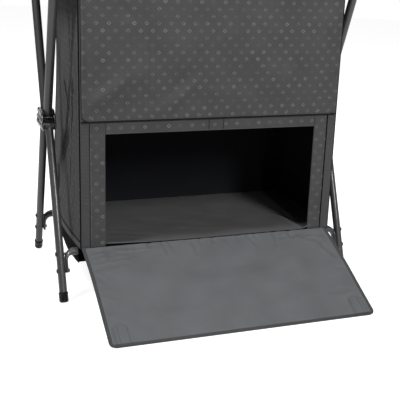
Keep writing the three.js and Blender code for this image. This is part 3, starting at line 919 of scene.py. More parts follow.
@dataclass
class TubeFrame(Assembly):
    """The folding frame: four straight legs, two riveted crossbars and two bent upper tubes."""

    lower: float = 0.0175
    upper: float = 0.019
    wall: float = 0.0012
    leg_plane: float = 0.342
    crossbar_height: float = 0.1043
    bar_inset: float = 0.0246
    crossbar_bend: float = 0.0148
    crossbar_end: float = 0.046
    crimp: float = 0.0066  # how thick the crossbars' flattened ends are
    crimp_spread: float = 0.28  # how much wider that makes them
    crimp_start: float = 0.006  # above the middle of the crossbar
    crimp_run: float = 0.55  # how much of an end it takes to flatten
    upper_bend: float = 0.042
    lower_start: float = 0.0072
    upper_start: float = -0.004  # the upper tubes' ends come down past their pivots
    hoop_steps: int = 10  # along a bent tube's middle run
    rivet_drops: dict[str, float] = field(default_factory=lambda: {"upper": 0.004, "lower": 0.041})
    head: float = 0.0052
    dome: float = 0.0026
    brim: float = 0.0003  # the rivet head's least thickness
    shank: float = 0.0027
    blind: float = 0.009  # how far the upper rivet reaches into its crossbar
    tail: float = 0.0042  # radius of the lower rivet's set end
    tail_height: float = 0.003
    foot_wall: float = 0.0019
    foot_height: float = 0.023
    foot_sole: float = 0.003
    foot_flat: float = 0.0015
    foot_roll: float = 0.0048
    foot_waist: float = 0.0004
    foot_rim: float = 0.0034
    sleeve_wall: float = 0.0012
    knuckle: float = 0.011
    knuckle_ring: float = 0.0036
    groove: float = 0.0007
    chamfer: float = 0.0008
    stud: float = 0.004
    stud_play: float = 0.0006
    plug_end: float = 0.025
    plug_root: float = 0.0012

    def __post_init__(self) -> None:
        """Works out the slope and the reaches from the sizes."""
        low_y, low_z = self.places.lower_pivot
        rise = low_z - self.crossbar_height
        self.spread = math.atan2(self.places.depth / 2 - self.bar_inset - low_y, rise)
        self.crossbar_reach = rise / math.cos(self.spread)
        self.foot_radius = self.lower / 2 + self.foot_wall
        sole = low_z - self.foot_radius * math.sin(self.spread) + self.foot_flat
        self.sole_reach = sole / math.cos(self.spread)
        sleeve = self.upper / 2 + GAP + self.sleeve_wall
        bar = self.places.top + GAP + sleeve - self.places.upper_pivot[1]
        self.upper_reach = bar / math.cos(self.spread)

    def set_by(self, storey: Storey, depth: Depth, x: float = 0.0) -> Matrix:
        """Where a frame's own pivot and slope put what is drawn upright about its pivot.

        Args:
            storey: the lower or the upper frame.
            depth: the front or the back one.
            x: how far from the middle it is moved first.

        Returns:
            The placement.
        """
        y, z = (self.places.lower_pivot, self.places.upper_pivot)[storey.value]
        lean = self.spread if storey is Storey.LOWER else -self.spread
        at = Matrix.Translation((0, self.places.middle + depth.value * y, z))
        return at @ Matrix.Rotation(depth.value * lean, 4, "X") @ Matrix.Translation((x, 0, 0))

    def build(self) -> None:
        """Makes both lower and both upper frames."""
        for depth in Depth:
            self._crossbar(depth)
            self._upper_tube(depth)
            for side in Side:
                self._leg(depth, side)
                self._foot(depth, side)
                for level, drop in self.rivet_drops.items():
                    self._rivet(depth, side, level, drop)
                for storey in Storey:
                    self._knuckle(storey, depth, side)

    def _finish(
        self, bm: BMesh, part: str, slot: str, finish: Material, at: tuple[Storey, Depth, float]
    ) -> None:
        """Puts a part of a frame in its place and fits it in its node's stead."""
        body = f"{at[0].word}_{at[1].word}"
        bmesh.ops.transform(bm, matrix=self.set_by(*at), verts=bm.verts[:])
        make(bm, f"{body}_{part}", finish, body, slot)

    def _leg(self, depth: Depth, side: Side) -> None:
        """A straight leg, from its knuckle to its foot."""
        run = self.sole_reach - self.foot_sole - GAP - self.lower_start
        down = Vector((0, 0, -1))
        bender = TubeBender(self.lower, self.wall).start(down * self.lower_start, down)
        bm = bender.straight(down * run, 6).cut()
        at = (Storey.LOWER, depth, side.value * self.leg_plane)
        self._finish(bm, f"leg_{side.word}", "tube_coating", self.wardrobe.tube, at)

    def _hoop(
        self, diameter: float, half: float, foot: float, crown: float, bend: float, steps: int
    ) -> BMesh:
        """A tube that rises, turns across, and comes down again.

        Args:
            diameter: the tube's.
            half: half of the way across, between the tube's middle lines.
            foot: the level where it starts and ends.
            crown: the level of its middle run.
            bend: the radius of its bends.
            steps: faces along each upright run.

        Returns:
            The hollow tube.
        """
        rise, across = Vector((0, 0, crown - bend - foot)), Vector((0, 1, 0))
        bender = TubeBender(diameter, self.wall).start(Vector((-half, 0, foot)), Vector((0, 0, 1)))
        bender.straight(rise, steps).bend(Vector((-half + bend, 0, crown - bend)), across, math.pi / 2)
        bender.straight(Vector((2 * (half - bend), 0, 0)), self.hoop_steps)
        bender.bend(Vector((half - bend, 0, crown - bend)), across, math.pi / 2)
        return bender.straight(-rise, steps).cut()

    def _crossbar(self, depth: Depth) -> None:
        """A crossbar whose ends are bent down, crimped, and lie inside the legs."""
        end = self.leg_plane - self.lower - GAP
        crown = -self.crossbar_reach
        bm = self._hoop(self.lower, end, crown - self.crossbar_end, crown, self.crossbar_bend, 6)
        side = end + self.lower / 2
        for vert in bm.verts:
            sunk = (crown + self.crimp_start - vert.co.z) / (self.crimp_run * self.crossbar_end)
            share = min(max(sunk, 0.0), 1.0)
            share = share * share * (3 - 2 * share)
            outer = math.copysign(side, vert.co.x)
            vert.co.x = outer + (vert.co.x - outer) * (1 - share * (1 - self.crimp / self.lower))
            vert.co.y *= 1 + self.crimp_spread * share
        self._finish(bm, "crossbar", "tube_coating", self.wardrobe.tube, (Storey.LOWER, depth, 0.0))

    def _upper_tube(self, depth: Depth) -> None:
        """An upper frame's single tube, bent to a U."""
        bm = self._hoop(self.upper, self.leg_plane, self.upper_start, self.upper_reach, self.upper_bend, 4)
        self._finish(bm, "tube", "tube_coating", self.wardrobe.tube, (Storey.UPPER, depth, 0.0))

    def _foot(self, depth: Depth, side: Side) -> None:
        """A rubber cap with a rolled rim, cut flat where it meets the ground."""
        inner, outer, roll = self.lower / 2 + GAP, self.foot_radius, self.foot_roll
        sole = -self.sole_reach
        rim, bed = sole + self.foot_height, sole + self.foot_sole
        waist = outer - self.foot_waist
        profile = [(0.0, sole)] + quarter((waist - roll, sole + roll), roll, -roll)
        profile += [(waist, rim - self.foot_rim - 0.0008), (outer - 0.0001, rim - self.foot_rim)]
        profile += [(outer, rim - 0.0008), (outer - 0.0006, rim), (inner, rim), (inner, bed), (0.0, bed)]
        bm = lathe(profile, 48)
        set_by = self.set_by(Storey.LOWER, depth, side.value * self.leg_plane)
        bmesh.ops.transform(bm, matrix=set_by, verts=bm.verts[:])
        bmesh.ops.holes_fill(bm, edges=slice_at(bm, (0, 0, 1e-5), (0, 0, 1), clear_inner=True))
        bmesh.ops.recalc_face_normals(bm, faces=bm.faces[:])
        body = f"lower_{depth.word}"
        make(bm, f"{body}_foot_{side.word}", self.wardrobe.rubber, body, "foot_rubber")

    def _rivet(self, depth: Depth, side: Side, level: str, drop: float) -> None:
        """A domed rivet through the leg, with its set end in the crossbar's end."""
        face = self.lower / 2
        end = face - self.lower - GAP - (self.crimp if level == "lower" else self.blind)
        profile = quarter((0.0, face + self.brim), self.head, self.dome - self.brim)
        profile += [(self.head, face), (self.shank, face), (self.shank, end)]
        if level == "lower":
            profile += [(self.tail, end), (self.tail, end - 0.0014), (0.0030, end - 0.0028)]
            end -= self.tail_height
        bm = lathe(profile + [(0.0, end)], 28)
        drawn = Matrix.Translation((0, 0, -self.crossbar_reach - drop))
        turned = drawn @ Matrix.Rotation(side.value * math.pi / 2, 4, "Y")
        bmesh.ops.transform(bm, matrix=turned, verts=bm.verts[:])
        at = (Storey.LOWER, depth, side.value * self.leg_plane)
        self._finish(bm, f"rivet_{level}_{side.word}", "rivet_metal", self.wardrobe.rivet, at)

    def _knuckle(self, storey: Storey, depth: Depth, side: Side) -> None:
        """The plastic knuckle: a ringed barrel on the hub's stud, with a plug in the tube's end."""
        half = self.lower / 2 + self.wall + GAP
        ring, bore, edge = self.knuckle, self.stud + self.stud_play, half - self.chamfer
        sunk, rim = ring - self.groove, half - self.knuckle_ring
        near = [(bore, half), (ring - self.chamfer, half), (ring, edge), (ring, rim + 0.0006), (sunk, rim)]
        barrel = lathe([(r, -x) for r, x in near] + near[::-1] + [(bore, -half)], 40)
        bmesh.ops.rotate(barrel, matrix=Matrix.Rotation(math.pi / 2, 3, "Y"), verts=barrel.verts[:])
        if storey is Storey.UPPER:
            level = (0, 0, self.upper_start - GAP)
            bmesh.ops.holes_fill(barrel, edges=slice_at(barrel, level, (0, 0, 1), clear_outer=True))
        tube, start = ((self.lower, self.lower_start), (self.upper, self.upper_start))[storey.value]
        plug, root, end = tube / 2 - self.wall - GAP, start - self.plug_root, self.plug_end
        shank = lathe([(0.0, root), (plug, root), (plug, end - 0.001), (plug - 0.001, end), (0.0, end)], 40)
        if storey is Storey.LOWER:
            bmesh.ops.rotate(shank, matrix=Matrix.Rotation(math.pi, 3, "X"), verts=shank.verts[:])
        merge(barrel, shank)
        at = (storey, depth, side.value * self.leg_plane)
        self._finish(barrel, f"knuckle_{side.word}", "black_plastic", self.wardrobe.plastic, at)


@dataclass
class Hubs(Assembly):
    """The two hubs that the eight tubes turn on: an inner plate with studs and a ribbed outer cover."""

    frame: TubeFrame
    rims: Pair = (0.0125, 0.0080)  # round the lower and the upper pivots
    plate: float = 0.0032
    play: float = 0.0009
    rounding: float = 0.0007
    rib_height: float = 0.002
    rib_pitch: float = 0.0112
    rib_share: float = 0.55
    rib_rounding: float = 0.0006
    boss: float = 0.0068
    pin: float = 0.0036  # radius of the pin's head, sunk in the boss
    root: float = 0.0062  # radius of a stud's foot
    step: float = 0.0004

    def build(self) -> None:
        """Makes both plates and both covers."""
        inner = self.frame.lower / 2 + self.frame.wall + GAP + self.play
        for side in Side:
            sign = side.value
            middle = sign * self.frame.leg_plane
            for word, way in (("plate", -sign), ("cover", sign)):
                face = middle + way * inner
                slab = self._slab(face, face + way * self.plate)
                round_edges(slab, self.rounding)
                if word == "cover":
                    self._ribs(slab, face, face + way * (self.plate + self.rib_height))
                for y, z in self._pivots():
                    part = self._boss() if word == "cover" else self._stud(inner)
                    at = Matrix.Translation((face + way * self.plate, y, z))
                    turned = at @ Matrix.Rotation(sign * math.pi / 2, 4, "Y")
                    bmesh.ops.transform(part, matrix=turned, verts=part.verts[:])
                    merge(slab, part)
                make(slab, f"hub_{word}_{side.word}", self.wardrobe.plastic, "carcass", "black_plastic")

    def _pivots(self) -> list[Pair]:
        """The four pivots of a hub, as y and z."""
        low, high = self.places.lower_pivot, self.places.upper_pivot
        return [(self.places.middle + d.value * p[0], p[1]) for p in (low, high) for d in Depth]

    def _slab(self, from_x: float, to_x: float) -> BMesh:
        """A plate with round corners: the hull of a disc at each pivot."""
        bm = bmesh.new()
        turn = Matrix.Rotation(math.pi / 2, 4, "Y")
        for y, z in self._pivots():
            rim = self.rims[z > self.places.lower_pivot[1]]
            for x in (from_x, to_x):
                at = Matrix.Translation((x, y, z)) @ turn
                bmesh.ops.create_circle(bm, segments=48, radius=rim, matrix=at)
        made = bmesh.ops.convex_hull(bm, input=bm.verts[:])
        stray = set(only(Vert, made["geom_interior"] + made["geom_unused"]))
        bmesh.ops.delete(bm, geom=[vert for vert in stray if vert.is_valid], context="VERTS")
        bmesh.ops.dissolve_limit(bm, angle_limit=math.radians(1), verts=bm.verts[:], edges=bm.edges[:])
        bmesh.ops.recalc_face_normals(bm, faces=bm.faces[:])
        return bm

    def _ribs(self, cover: BMesh, from_x: float, to_x: float) -> None:
        """Level ribs across a cover, each a slice of a thicker plate."""
        low = self.places.lower_pivot[1] - self.rims[0]
        tall = self.places.upper_pivot[1] + self.rims[1] - low
        count = int(tall / self.rib_pitch)
        half = self.rib_pitch * self.rib_share / 2
        for k in range(count):
            centre = low + (k + 0.5) * tall / count
            rib = self._slab(from_x, to_x)
            for way in (-1, 1):
                edges = slice_at(rib, (0, 0, centre + way * half), (0, 0, way), clear_outer=True)
                bmesh.ops.contextual_create(rib, geom=edges)
            bmesh.ops.recalc_face_normals(rib, faces=rib.faces[:])
            round_edges(rib, self.rib_rounding)
            merge(cover, rib)

    def _boss(self) -> BMesh:
        """A round boss over a pivot, with the head of its pin sunk in it."""
        r, tall, pin = self.boss, self.rib_height - 0.0001, self.pin
        profile = [(r, -0.001), (r, tall - 0.0005), (r - 0.0005, tall), (pin + 0.0006, tall)]
        profile += [(pin + 0.0002, tall - 0.0004), (pin, tall - 0.0012), (pin - 0.0003, tall - 0.0013)]
        profile += [(pin - 0.0006, tall - 0.0006), (pin / 2, tall - 0.0002), (0.0, tall - 0.0001)]
        return lathe(profile, 36)

    def _stud(self, inner: float) -> BMesh:
        """A stud from the plate through a knuckle, with a stepped root."""
        r, root, end = self.frame.stud, self.root, self.plate + 2 * inner
        profile = [(0.0, 0.0), (root, 0.0), (root, self.plate - self.step), (r, self.plate + self.step)]
        return lathe(profile + [(r, end - 2 * GAP), (r - GAP, end - GAP), (0.0, end - GAP)], 28)


@dataclass
class FabricBox(Assembly):
    """The parts of the fabric box that crumple when the frame folds: side walls, floor, shelf and top."""

    cloth: float = 0.0016
    pinch: float = 0.0123
    bulge: float = 0.009
    pleat: float = 0.0026
    shallow: float = 0.13  # of the folds' heights, since the side walls are drawn tight; their folds show mostly as painted shade
    valley_depth: float = 0.007  # of a fold whose painted shade is black
    edge_play: float = 0.0023  # between the side walls and the front and back ones
    slide: float = 0.115  # how far the front and back walls come in
    clear: float = 0.0034  # more than that for what crumples between them
    pleats: tuple[tuple[float, float, float, float], ...] = (
        (0.1, 0.06, 0.035, 0.7),
        (0.21, -0.05, 0.05, 1.0),
        (0.36, 0.08, 0.06, 0.6),
    )  # each one's place, lean and width as shares of the depth, and its height as a share of a pleat's
    hem: float = 0.014
    hem_rise: float = 0.0009
    cell: float = 0.0034  # of the side walls' meshes
    play: float = 0.0012  # between the side walls and what lies level between them
    floor_creases: Folds = creases(
        (205, 130, 235, 30, 8, 6), (228, 140, 262, 30, 9, -4), (-180, 230, 20, 120, 12, 3),
        (-120, 290, 120, 150, 12, 2.8), (-60, 310, 180, 200, 12, -2.4), (-250, 120, -80, 50, 10, 3.2),
        (20, 230, 180, 110, 12, -2.6), (-240, 60, -150, 30, 7, -3), (-225, 85, -160, 50, 7, 2.6),
        (-100, 110, 80, 60, 10, 2),
    )
    level_creases: Folds = creases(
        (-220, 280, -50, 120, 12, 2.2), (240, 50, 100, 220, 12, 2), (-100, 50, 60, 90, 10, -1.6),
    )
    side_creases: dict[Side, Folds] = field(init=False)

    def __post_init__(self) -> None:
        """Lays out the folds of both side walls, from the front wall and from the ground."""
        self.side_creases = {
            Side.LEFT: creases(
                (60, 484, 78, 356, 9, -17), (190, 460, 108, 400, 8, -12), (240, 445, 140, 405, 8, 8),
                (95, 466, 40, 452, 6, -7), (128, 392, 121, 330, 5, -7), (112, 350, 207, 278, 23, -19),
                (92, 346, 152, 266, 9, 8), (256, 250, 234, 186, 18, -16), (55, 620, 60, 190, 8, 10),
                (80, 372, 92, 200, 5.5, -7), (30, 600, 26, 200, 6, -6), (196, 182, 268, 132, 10, -8),
                (110, 250, 60, 135, 12, 6), (50, 640, 85, 500, 10, -8), (110, 620, 90, 470, 9, -6),
                (130, 660, 200, 450, 14, 7), (240, 600, 290, 400, 12, -6), (160, 250, 135, 150, 10, 5),
            ),
            Side.RIGHT: creases(
                (30, 560, 22, 260, 8, 6.5), (90, 630, 60, 420, 12, -7.5), (170, 460, 75, 360, 10, -8.5),
                (110, 330, 220, 250, 11, 7), (60, 300, 150, 180, 12, -7.5), (220, 560, 280, 380, 13, 6.5),
                (210, 200, 275, 135, 10, -7.5),
            ),
        }

    def reach(self, side: Side, deep: float, z: float) -> float:
        """How far a side wall stands out from the middle.

        Args:
            side: left or right.
            deep: metres behind the front wall.
            z: the height.

        Returns:
            The distance from the middle.
        """
        share, high, held = self._shares(deep, z)
        pinch = self.pinch * math.sin(math.pi * high**2.05) * share**1.5
        belly = self.bulge * math.sin(math.pi * share) * (1 - high) ** 2
        gathered = 0.0
        for at, lean, wide, tall in self.pleats:
            centre = at + lean * (high - 0.5)
            gathered += self.pleat * tall * math.exp(-(((share - centre) / wide) ** 2))
        folds = self.shallow * creases_rise(self.side_creases[side], deep, z)
        waves = ripple(deep, z, 16, 0.0018, side.value * 3.3)
        waves += ripple(deep * 2.2, z, 38, 0.0008, side.value * 7.7)
        shelf = math.exp(-(((z - self.places.shelf) / 0.012) ** 2))
        loose = held * (gathered + folds + waves) * (1 - 0.8 * shelf)
        return self.places.side - pinch + belly + loose

    def _shares(self, deep: float, z: float) -> tuple[float, float, float]:
        """How far back and how high a point of a side wall lies, and how free its cloth is to fold there."""
        share = min(max(deep / self.places.depth, 0.0), 1.0)
        high = min(max((z - self.places.bottom) / self.places.height, 0.0), 1.0)
        return share, high, math.sin(math.pi * share) ** 0.5 * math.sin(math.pi * high) ** 0.35

    def valley(self, side: Side, deep: float, z: float) -> float:
        """How strong the painted shade is at a point of a side wall, from 0 to 1, by how deep in a fold it
        lies.
        """
        sunk = sum(max(0.0, -crease.rise(deep, z)) for crease in self.side_creases[side])
        return min(1.0, sunk * self._shares(deep, z)[2] / self.valley_depth)

    def side_surface(self, side: Side) -> Surface:
        """The outside of a side wall, by metres behind the front wall, height, and metres out."""

        def place(deep: float, z: float, lift: float) -> Vector:
            """The place of a point of the cut."""
            out = self.reach(side, deep, z) + lift
            return Vector((side.value * out, self.places.front + deep, z))

        return place

    def squash(self, piece: Piece) -> None:
        """Gives a piece its own copy of its mesh."""
        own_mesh(piece)

    def build(self) -> None:
        """Makes the side walls with their trims, and the three level sheets."""
        for side in Side:
            self._side(side)
        self._level("fabric_floor", self.places.floor, 0.0035, self._floor_folds)
        self._level("fabric_shelf", self.places.shelf, 0.005, self._shelf_folds)
        self._level("fabric_top", self.places.top, 0.002, self._shelf_folds)

    def _side(self, side: Side) -> None:
        """A side wall of printed canvas with painted shade in its folds and a dark reverse, its hems, a
        painted shade line above its foot hem, and its stitches.
        """
        places, wear, word = self.places, self.wardrobe, side.word
        surface = self.side_surface(side)
        near, far = self.edge_play, places.depth - self.edge_play
        low, high = places.bottom + 0.0006, places.top - 0.0006
        bm = cloth_grid(surface, (near, low - 0.0001), (far, high + 0.0001), self.cell)
        # painted shade: each point's depth in its folds is stored for the canvas to darken
        sunk = bm.verts.layers.float.new(PAINTED_FOLD_SHADE)
        for vert in bm.verts:
            vert[sunk] = self.valley(side, vert.co.y - places.front, vert.co.z)
        wall = settle(bm, f"side_wall_{word}", [wear.outer, wear.reverse])
        thicken(wall, self.cloth, -1, 1)
        fit(wall, "carcass", "outer_fabric", f"fabric_side_{word}")
        foot, head = places.bottom + self.hem, places.top - self.hem
        trims = []
        for name, start, end, finish, rise in (
            ("foot_hem", low, foot, wear.plain, self.hem_rise),
            # painted shade: a thin black webbing band above the foot hem stands for the shadow line there
            ("foot_fold", foot + 0.0002, foot + 0.0032, wear.webbing, 0.0002),
            ("head_hem", head, high, wear.plain, self.hem_rise),
        ):
            band = cloth_grid(surface, (near, start), (far, end), self.cell, 0.0002)
            trim = settle(band, f"side_{name}_{word}", [finish])
            thicken(trim, rise)
            trims.append(trim)
        sewn = Stitches()
        for z in (foot - 0.003, head + 0.003):
            sewn.row(surface, (near + 0.004, z), (far - 0.006, z), self.hem_rise + 0.0003)
        trims.append(sewn.finish(f"side_stitches_{word}", wear))
        for trim in trims:
            fit(trim, "carcass", "outer_fabric")
            self.squash(trim)
        self.squash(wall)

    def _floor_folds(self, x: float, deep: float) -> float:
        """The floor's soft diagonal wrinkles."""
        waves = ripple(x, deep, 13, 0.0018, 1.7) + ripple(x * 0.6, deep, 34, 0.0007, 4.1)
        return creases_rise(self.floor_creases, x, deep) + waves

    def _shelf_folds(self, x: float, deep: float) -> float:
        """The shelf's and the top's wrinkles."""
        return creases_rise(self.level_creases, x, deep) + ripple(x, deep, 12, 0.0016, 9.2)

    def _level(self, node: str, level: float, sag: float, folds: Callable[[float, float], float]) -> None:
        """A level sheet from wall to wall, that sags and wrinkles.

        Args:
            node: the node that it stands for.
            level: the height of its top face along its edge.
            sag: how far its middle hangs down.
            folds: its wrinkles, by metres across and metres behind the front wall.
        """
        places = self.places
        near, far = self.edge_play, places.depth - self.edge_play
        topmost = node == "fabric_top"
        held = places.top - 0.004 if topmost else level

        def place(x: float, deep: float, lift: float) -> Vector:
            """The place of a point of the cut."""
            left, right = (self.reach(side, deep, held) - self.cloth - self.play for side in Side)
            across = x / (2 * places.side) + 0.5
            edge = math.sin(math.pi * across) * math.sin(math.pi * deep / places.depth)
            drop = sag * edge - min(1.0, 3.0 * max(edge, 0.0)) * folds(x, deep)
            return Vector(((left + right) * across - left, places.front + deep, level - 0.0004 - drop + lift))

        bm = cloth_grid(place, (-places.side, near), (places.side, far), 0.005)
        sheet = settle(bm, f"{node}_sheet", [self.wardrobe.plain if topmost else self.wardrobe.base])
        thicken(sheet, 0.0022, -1)
        fit(sheet, "carcass", "outer_fabric" if topmost else "lining_fabric", node)
        self.squash(sheet)


@dataclass
class UprightWalls(Assembly):
    """The front wall with its two doorways, hems, tapes and seams, and the back wall."""

    box: FabricBox
    hem: float = 0.054
    sill: float = 0.009
    head: float = 0.029
    tape: float = 0.019
    tape_inset: float = 0.001
    cloth: float = 0.0018
    strip: float = 0.0008  # how thick a hem's turned-in layer is
    crown: float = 0.0006  # how far a rolled edge stands out of its hem
    roll: float = 0.0022
    sag: float = 0.0066  # how far the lower sill hangs down
    sag_fade: float = 0.02  # how far above the sill that ends
    sag_runs: Pair = (0.17, 0.014)  # from the left and the right jamb to the full sag
    sewn_in: float = 0.003  # of the stitches, from a hem's edge
    gaps: dict[Side, float] = field(default_factory=lambda: {Side.LEFT: 0.0014, Side.RIGHT: 0.0032})
    bead: float = 0.0016  # radius of the corner piping
    bead_sunk: float = 0.0008  # of the piping's middle line, behind the wall's face
    bead_proud: float = 0.0002  # of the same line, beside the wall
    turning: float = 0.006  # of cloth, folded back round each doorway
    cell: float = 0.0035  # of the hems' meshes
    hem_creases: Folds = creases(
        (-248, 392, -218, 376, 3.5, 1.8), (-240, 396, -205, 380, 3.5, 1.4),
        (-262, 372, -250, 340, 4, 1.3), (262, 360, 271, 300, 6, 1.4), (250, 245, 270, 232, 3, 1.6),
        (-262, 235, -270, 150, 5, 1.4), (-256, 190, -264, 130, 4, 1.4), (254, 200, 264, 140, 5, 1.3),
        (80, 374, 180, 380, 4, 1), (-150, 378, -60, 372, 4, 1),
    )
    back_creases: Folds = creases(
        (-280, 400, -120, 420, 14, 1.2), (280, 390, 100, 360, 14, 1.2), (-270, 620, -160, 500, 12, 1),
        (260, 180, 140, 270, 12, 1),
    )

    @property
    def mouth(self) -> float:
        """Half of a doorway's width."""
        return self.places.side - self.hem

    def storey_base(self, storey: Storey) -> float:
        """The level that a storey stands on."""
        return (self.places.floor, self.places.shelf)[storey.value]

    def doorway(self, storey: Storey) -> Pair:
        """The lowest and highest level of a doorway."""
        base = self.storey_base(storey)
        rise = self.places.shelf - self.places.floor
        return base + self.sill, base + rise - self.head

    def droop(self, x: float, z: float) -> float:
        """How far the lower sill hangs at a point of the front wall."""
        sill = self.doorway(Storey.LOWER)[0]
        if abs(x) >= self.mouth or not self.places.bottom < z < sill + self.sag_fade:
            return 0.0
        if z < sill:
            share = (z - self.places.bottom) / (sill - self.places.bottom)
        else:
            share = 1 - (z - sill) / self.sag_fade
        left = min(1.0, (x + self.mouth) / self.sag_runs[0])
        right = min(1.0, (self.mouth - x) / self.sag_runs[1])
        return self.sag * share * math.sin(math.pi / 2 * left) * right

    def surface(self, x: float, z: float, lift: float) -> Vector:
        """The outside of the front wall, which puckers a little along its hems."""
        wave = ripple(x, z, 24, 0.0005, 5.5)
        return Vector((x, self.places.front - lift + max(-0.0002, wave), z - self.droop(x, z)))

    def hem_surface(self, x: float, z: float, lift: float) -> Vector:
        """The hem strips' outside, which lifts in places from the wall."""
        rise = creases_rise(self.hem_creases, x, z) + ripple(x, z, 42, 0.0006, 2.5) + 0.0002
        return self.surface(x, z, lift + min(max(rise, 0.0), 0.0006))

    def build(self) -> None:
        """Makes both walls."""
        self._front()
        self._hems()
        self._tapes()
        self._seams()
        self._back()

    def _front(self) -> None:
        """The front panel: a cloth with both doorways cut out."""
        places, mouth = self.places, self.mouth
        doorways = [self.doorway(storey) for storey in Storey]
        levels = [level for doorway in doorways for level in doorway]
        bm = flat_cut((-places.side, places.bottom), (places.side, places.top), 96, 90)

        def opened(spot: Vector) -> bool:
            """Whether a point lies in a doorway."""
            return abs(spot.x) < mouth and any(low < spot.y < high for low, high in doorways)

        cut_out(bm, (-mouth, mouth), levels, opened)
        lay(bm, self.surface)
        wall = settle(bm, "front_wall_sheet", [self.wardrobe.outer, self.wardrobe.reverse])
        thicken(wall, self.cloth, -1, 1)
        fit(wall, "front_wall", "outer_fabric", "fabric_front")
        self.front = wall

    def _hems(self) -> None:
        """The turned hems round each doorway, with the stitched tab at the middle of each head."""
        places, mouth = self.places, self.mouth
        edges = {side: places.side - self.tape_inset - self.tape - self.gaps[side] for side in Side}
        sewn = Stitches()
        trims = []
        for storey in Storey:
            low, high = self.doorway(storey)
            foot = self.storey_base(storey) + 0.0006
            head = high + self.head - 0.0008
            strips = {
                "left": ((-edges[Side.LEFT], foot), (-mouth, head)),
                "right": ((mouth, foot), (edges[Side.RIGHT], head)),
                "head": ((-mouth + 0.0014, high), (mouth - 0.0014, head)),
                "foot": ((-mouth + 0.0004, foot), (mouth - 0.0004, low)),
                "tab": ((-0.013, high + 0.0008), (0.020, head - 0.0006)),
            }
            for word, (start, end) in strips.items():
                tab = word == "tab"
                lift, thickness = (self.strip + 0.0002, 0.0003) if tab else (0.0002, self.strip)
                bm = cloth_grid(self.hem_surface, start, end, self.cell, lift)
                # the sill hem is black webbing, whose black also paints the shade that lies on the sill
                finish = self.wardrobe.webbing if word == "foot" else self.wardrobe.outer
                strip = settle(bm, f"{storey.word}_hem_{word}", [finish])
                thicken(strip, thickness)
                trims.append(fit(strip, "front_wall", "outer_fabric"))
                rise = lift + (0.0002 if tab else self.strip)
                if word in ("left", "right"):
                    for x in (start[0] + self.sewn_in, end[0] - self.sewn_in):
                        ends = (x, foot + self.sewn_in), (x, head - self.sewn_in)
                        sewn.row(self.hem_surface, *ends, rise)
                elif word == "head":
                    for z in (start[1] + self.sewn_in, end[1] - self.sewn_in):
                        sewn.row(self.hem_surface, (start[0], z), (end[0], z), rise)
                elif word == "tab":
                    for x in (start[0] + 0.002, end[0] - 0.002):
                        sewn.row(self.hem_surface, (x, start[1]), (x, end[1]), rise)
                else:
                    z = end[1] - self.sewn_in
                    sewn.row(self.hem_surface, (start[0], z), (end[0], z), rise)
            trims += self._edges(storey, edges)
        stitches = sewn.finish("front_stitches", self.wardrobe)
        fit(stitches, "front_wall", "outer_fabric")
        trims.append(stitches)
        rise = places.shelf - places.floor - self.head - self.sill - 2 * self.turning

    def _edges(self, storey: Storey, edges: dict[Side, float]) -> list[Piece]:
        """The rolled edges of a doorway, the fold in its left hem with a painted highlight, and black strips
        of painted shade in the gaps beside the tapes and along the tab's edges.

        Args:
            storey: whose doorway it is.
            edges: how far each hem reaches from the middle.

        Returns:
            The pieces.
        """
        low, high = self.doorway(storey)
        foot, head = self.storey_base(storey), high + self.head
        mouth, roll, wear = self.mouth, self.roll, self.wardrobe
        tape = self.places.side - self.tape_inset - self.tape
        bands = {
            "roll_left": ((-mouth - roll, low), (-mouth, high), wear.rolled),
            "roll_right": ((mouth, low), (mouth + roll, high), wear.rolled),
            "roll_head": ((-mouth, high), (mouth, high + roll), wear.rolled),
            "roll_foot": ((-mouth, low - roll * 1.2), (mouth, low), wear.lining),
            # painted shade: black webbing strips stand for the shadows in the gaps beside the tapes and along
            # the tab's edges
            "gap_left": ((-tape, foot + 0.001), (-edges[Side.LEFT], head - 0.001), wear.webbing),
            "gap_right": ((edges[Side.RIGHT], foot + 0.001), (tape, head - 0.001), wear.webbing),
            "tab_left": ((-0.0142, high + 0.0024), (-0.0130, head - 0.001), wear.webbing),
            "tab_right": ((0.0200, high + 0.0024), (0.0212, head - 0.001), wear.webbing),
        }
        if storey is Storey.LOWER:
            # a raised fold line in the left hem, in the lighter lining colour as a painted highlight along it
            bands["fold_left"] = ((-0.2784, 0.135), (-0.2764, 0.340), wear.lining)
        made = []
        for word, (start, end, finish) in bands.items():
            upright = end[1] - start[1] > end[0] - start[0]
            sunk = word.startswith("gap")
            base = 0.0 if sunk else 0.0002 + self.strip
            crown = 0.0001 if sunk else self.crown

            def place(x: float, z: float, lift: float) -> Vector:
                """The place of a point of the hems, raised along the band's middle."""
                along, first, last = (x, start[0], end[0]) if upright else (z, start[1], end[1])
                share = min(max((along - first) / (last - first), 0), 1)
                return self.hem_surface(x, z, base + lift + crown * math.sin(math.pi * share))

            bm = cloth_grid(place, start, end, min(end[0] - start[0], end[1] - start[1]) / 4)
            piece = settle(bm, f"{storey.word}_{word}", [finish], 60)
            thicken(piece, 0.0002, -1)
            made.append(fit(piece, "front_wall", "webbing" if finish is wear.webbing else "outer_fabric"))
        return made

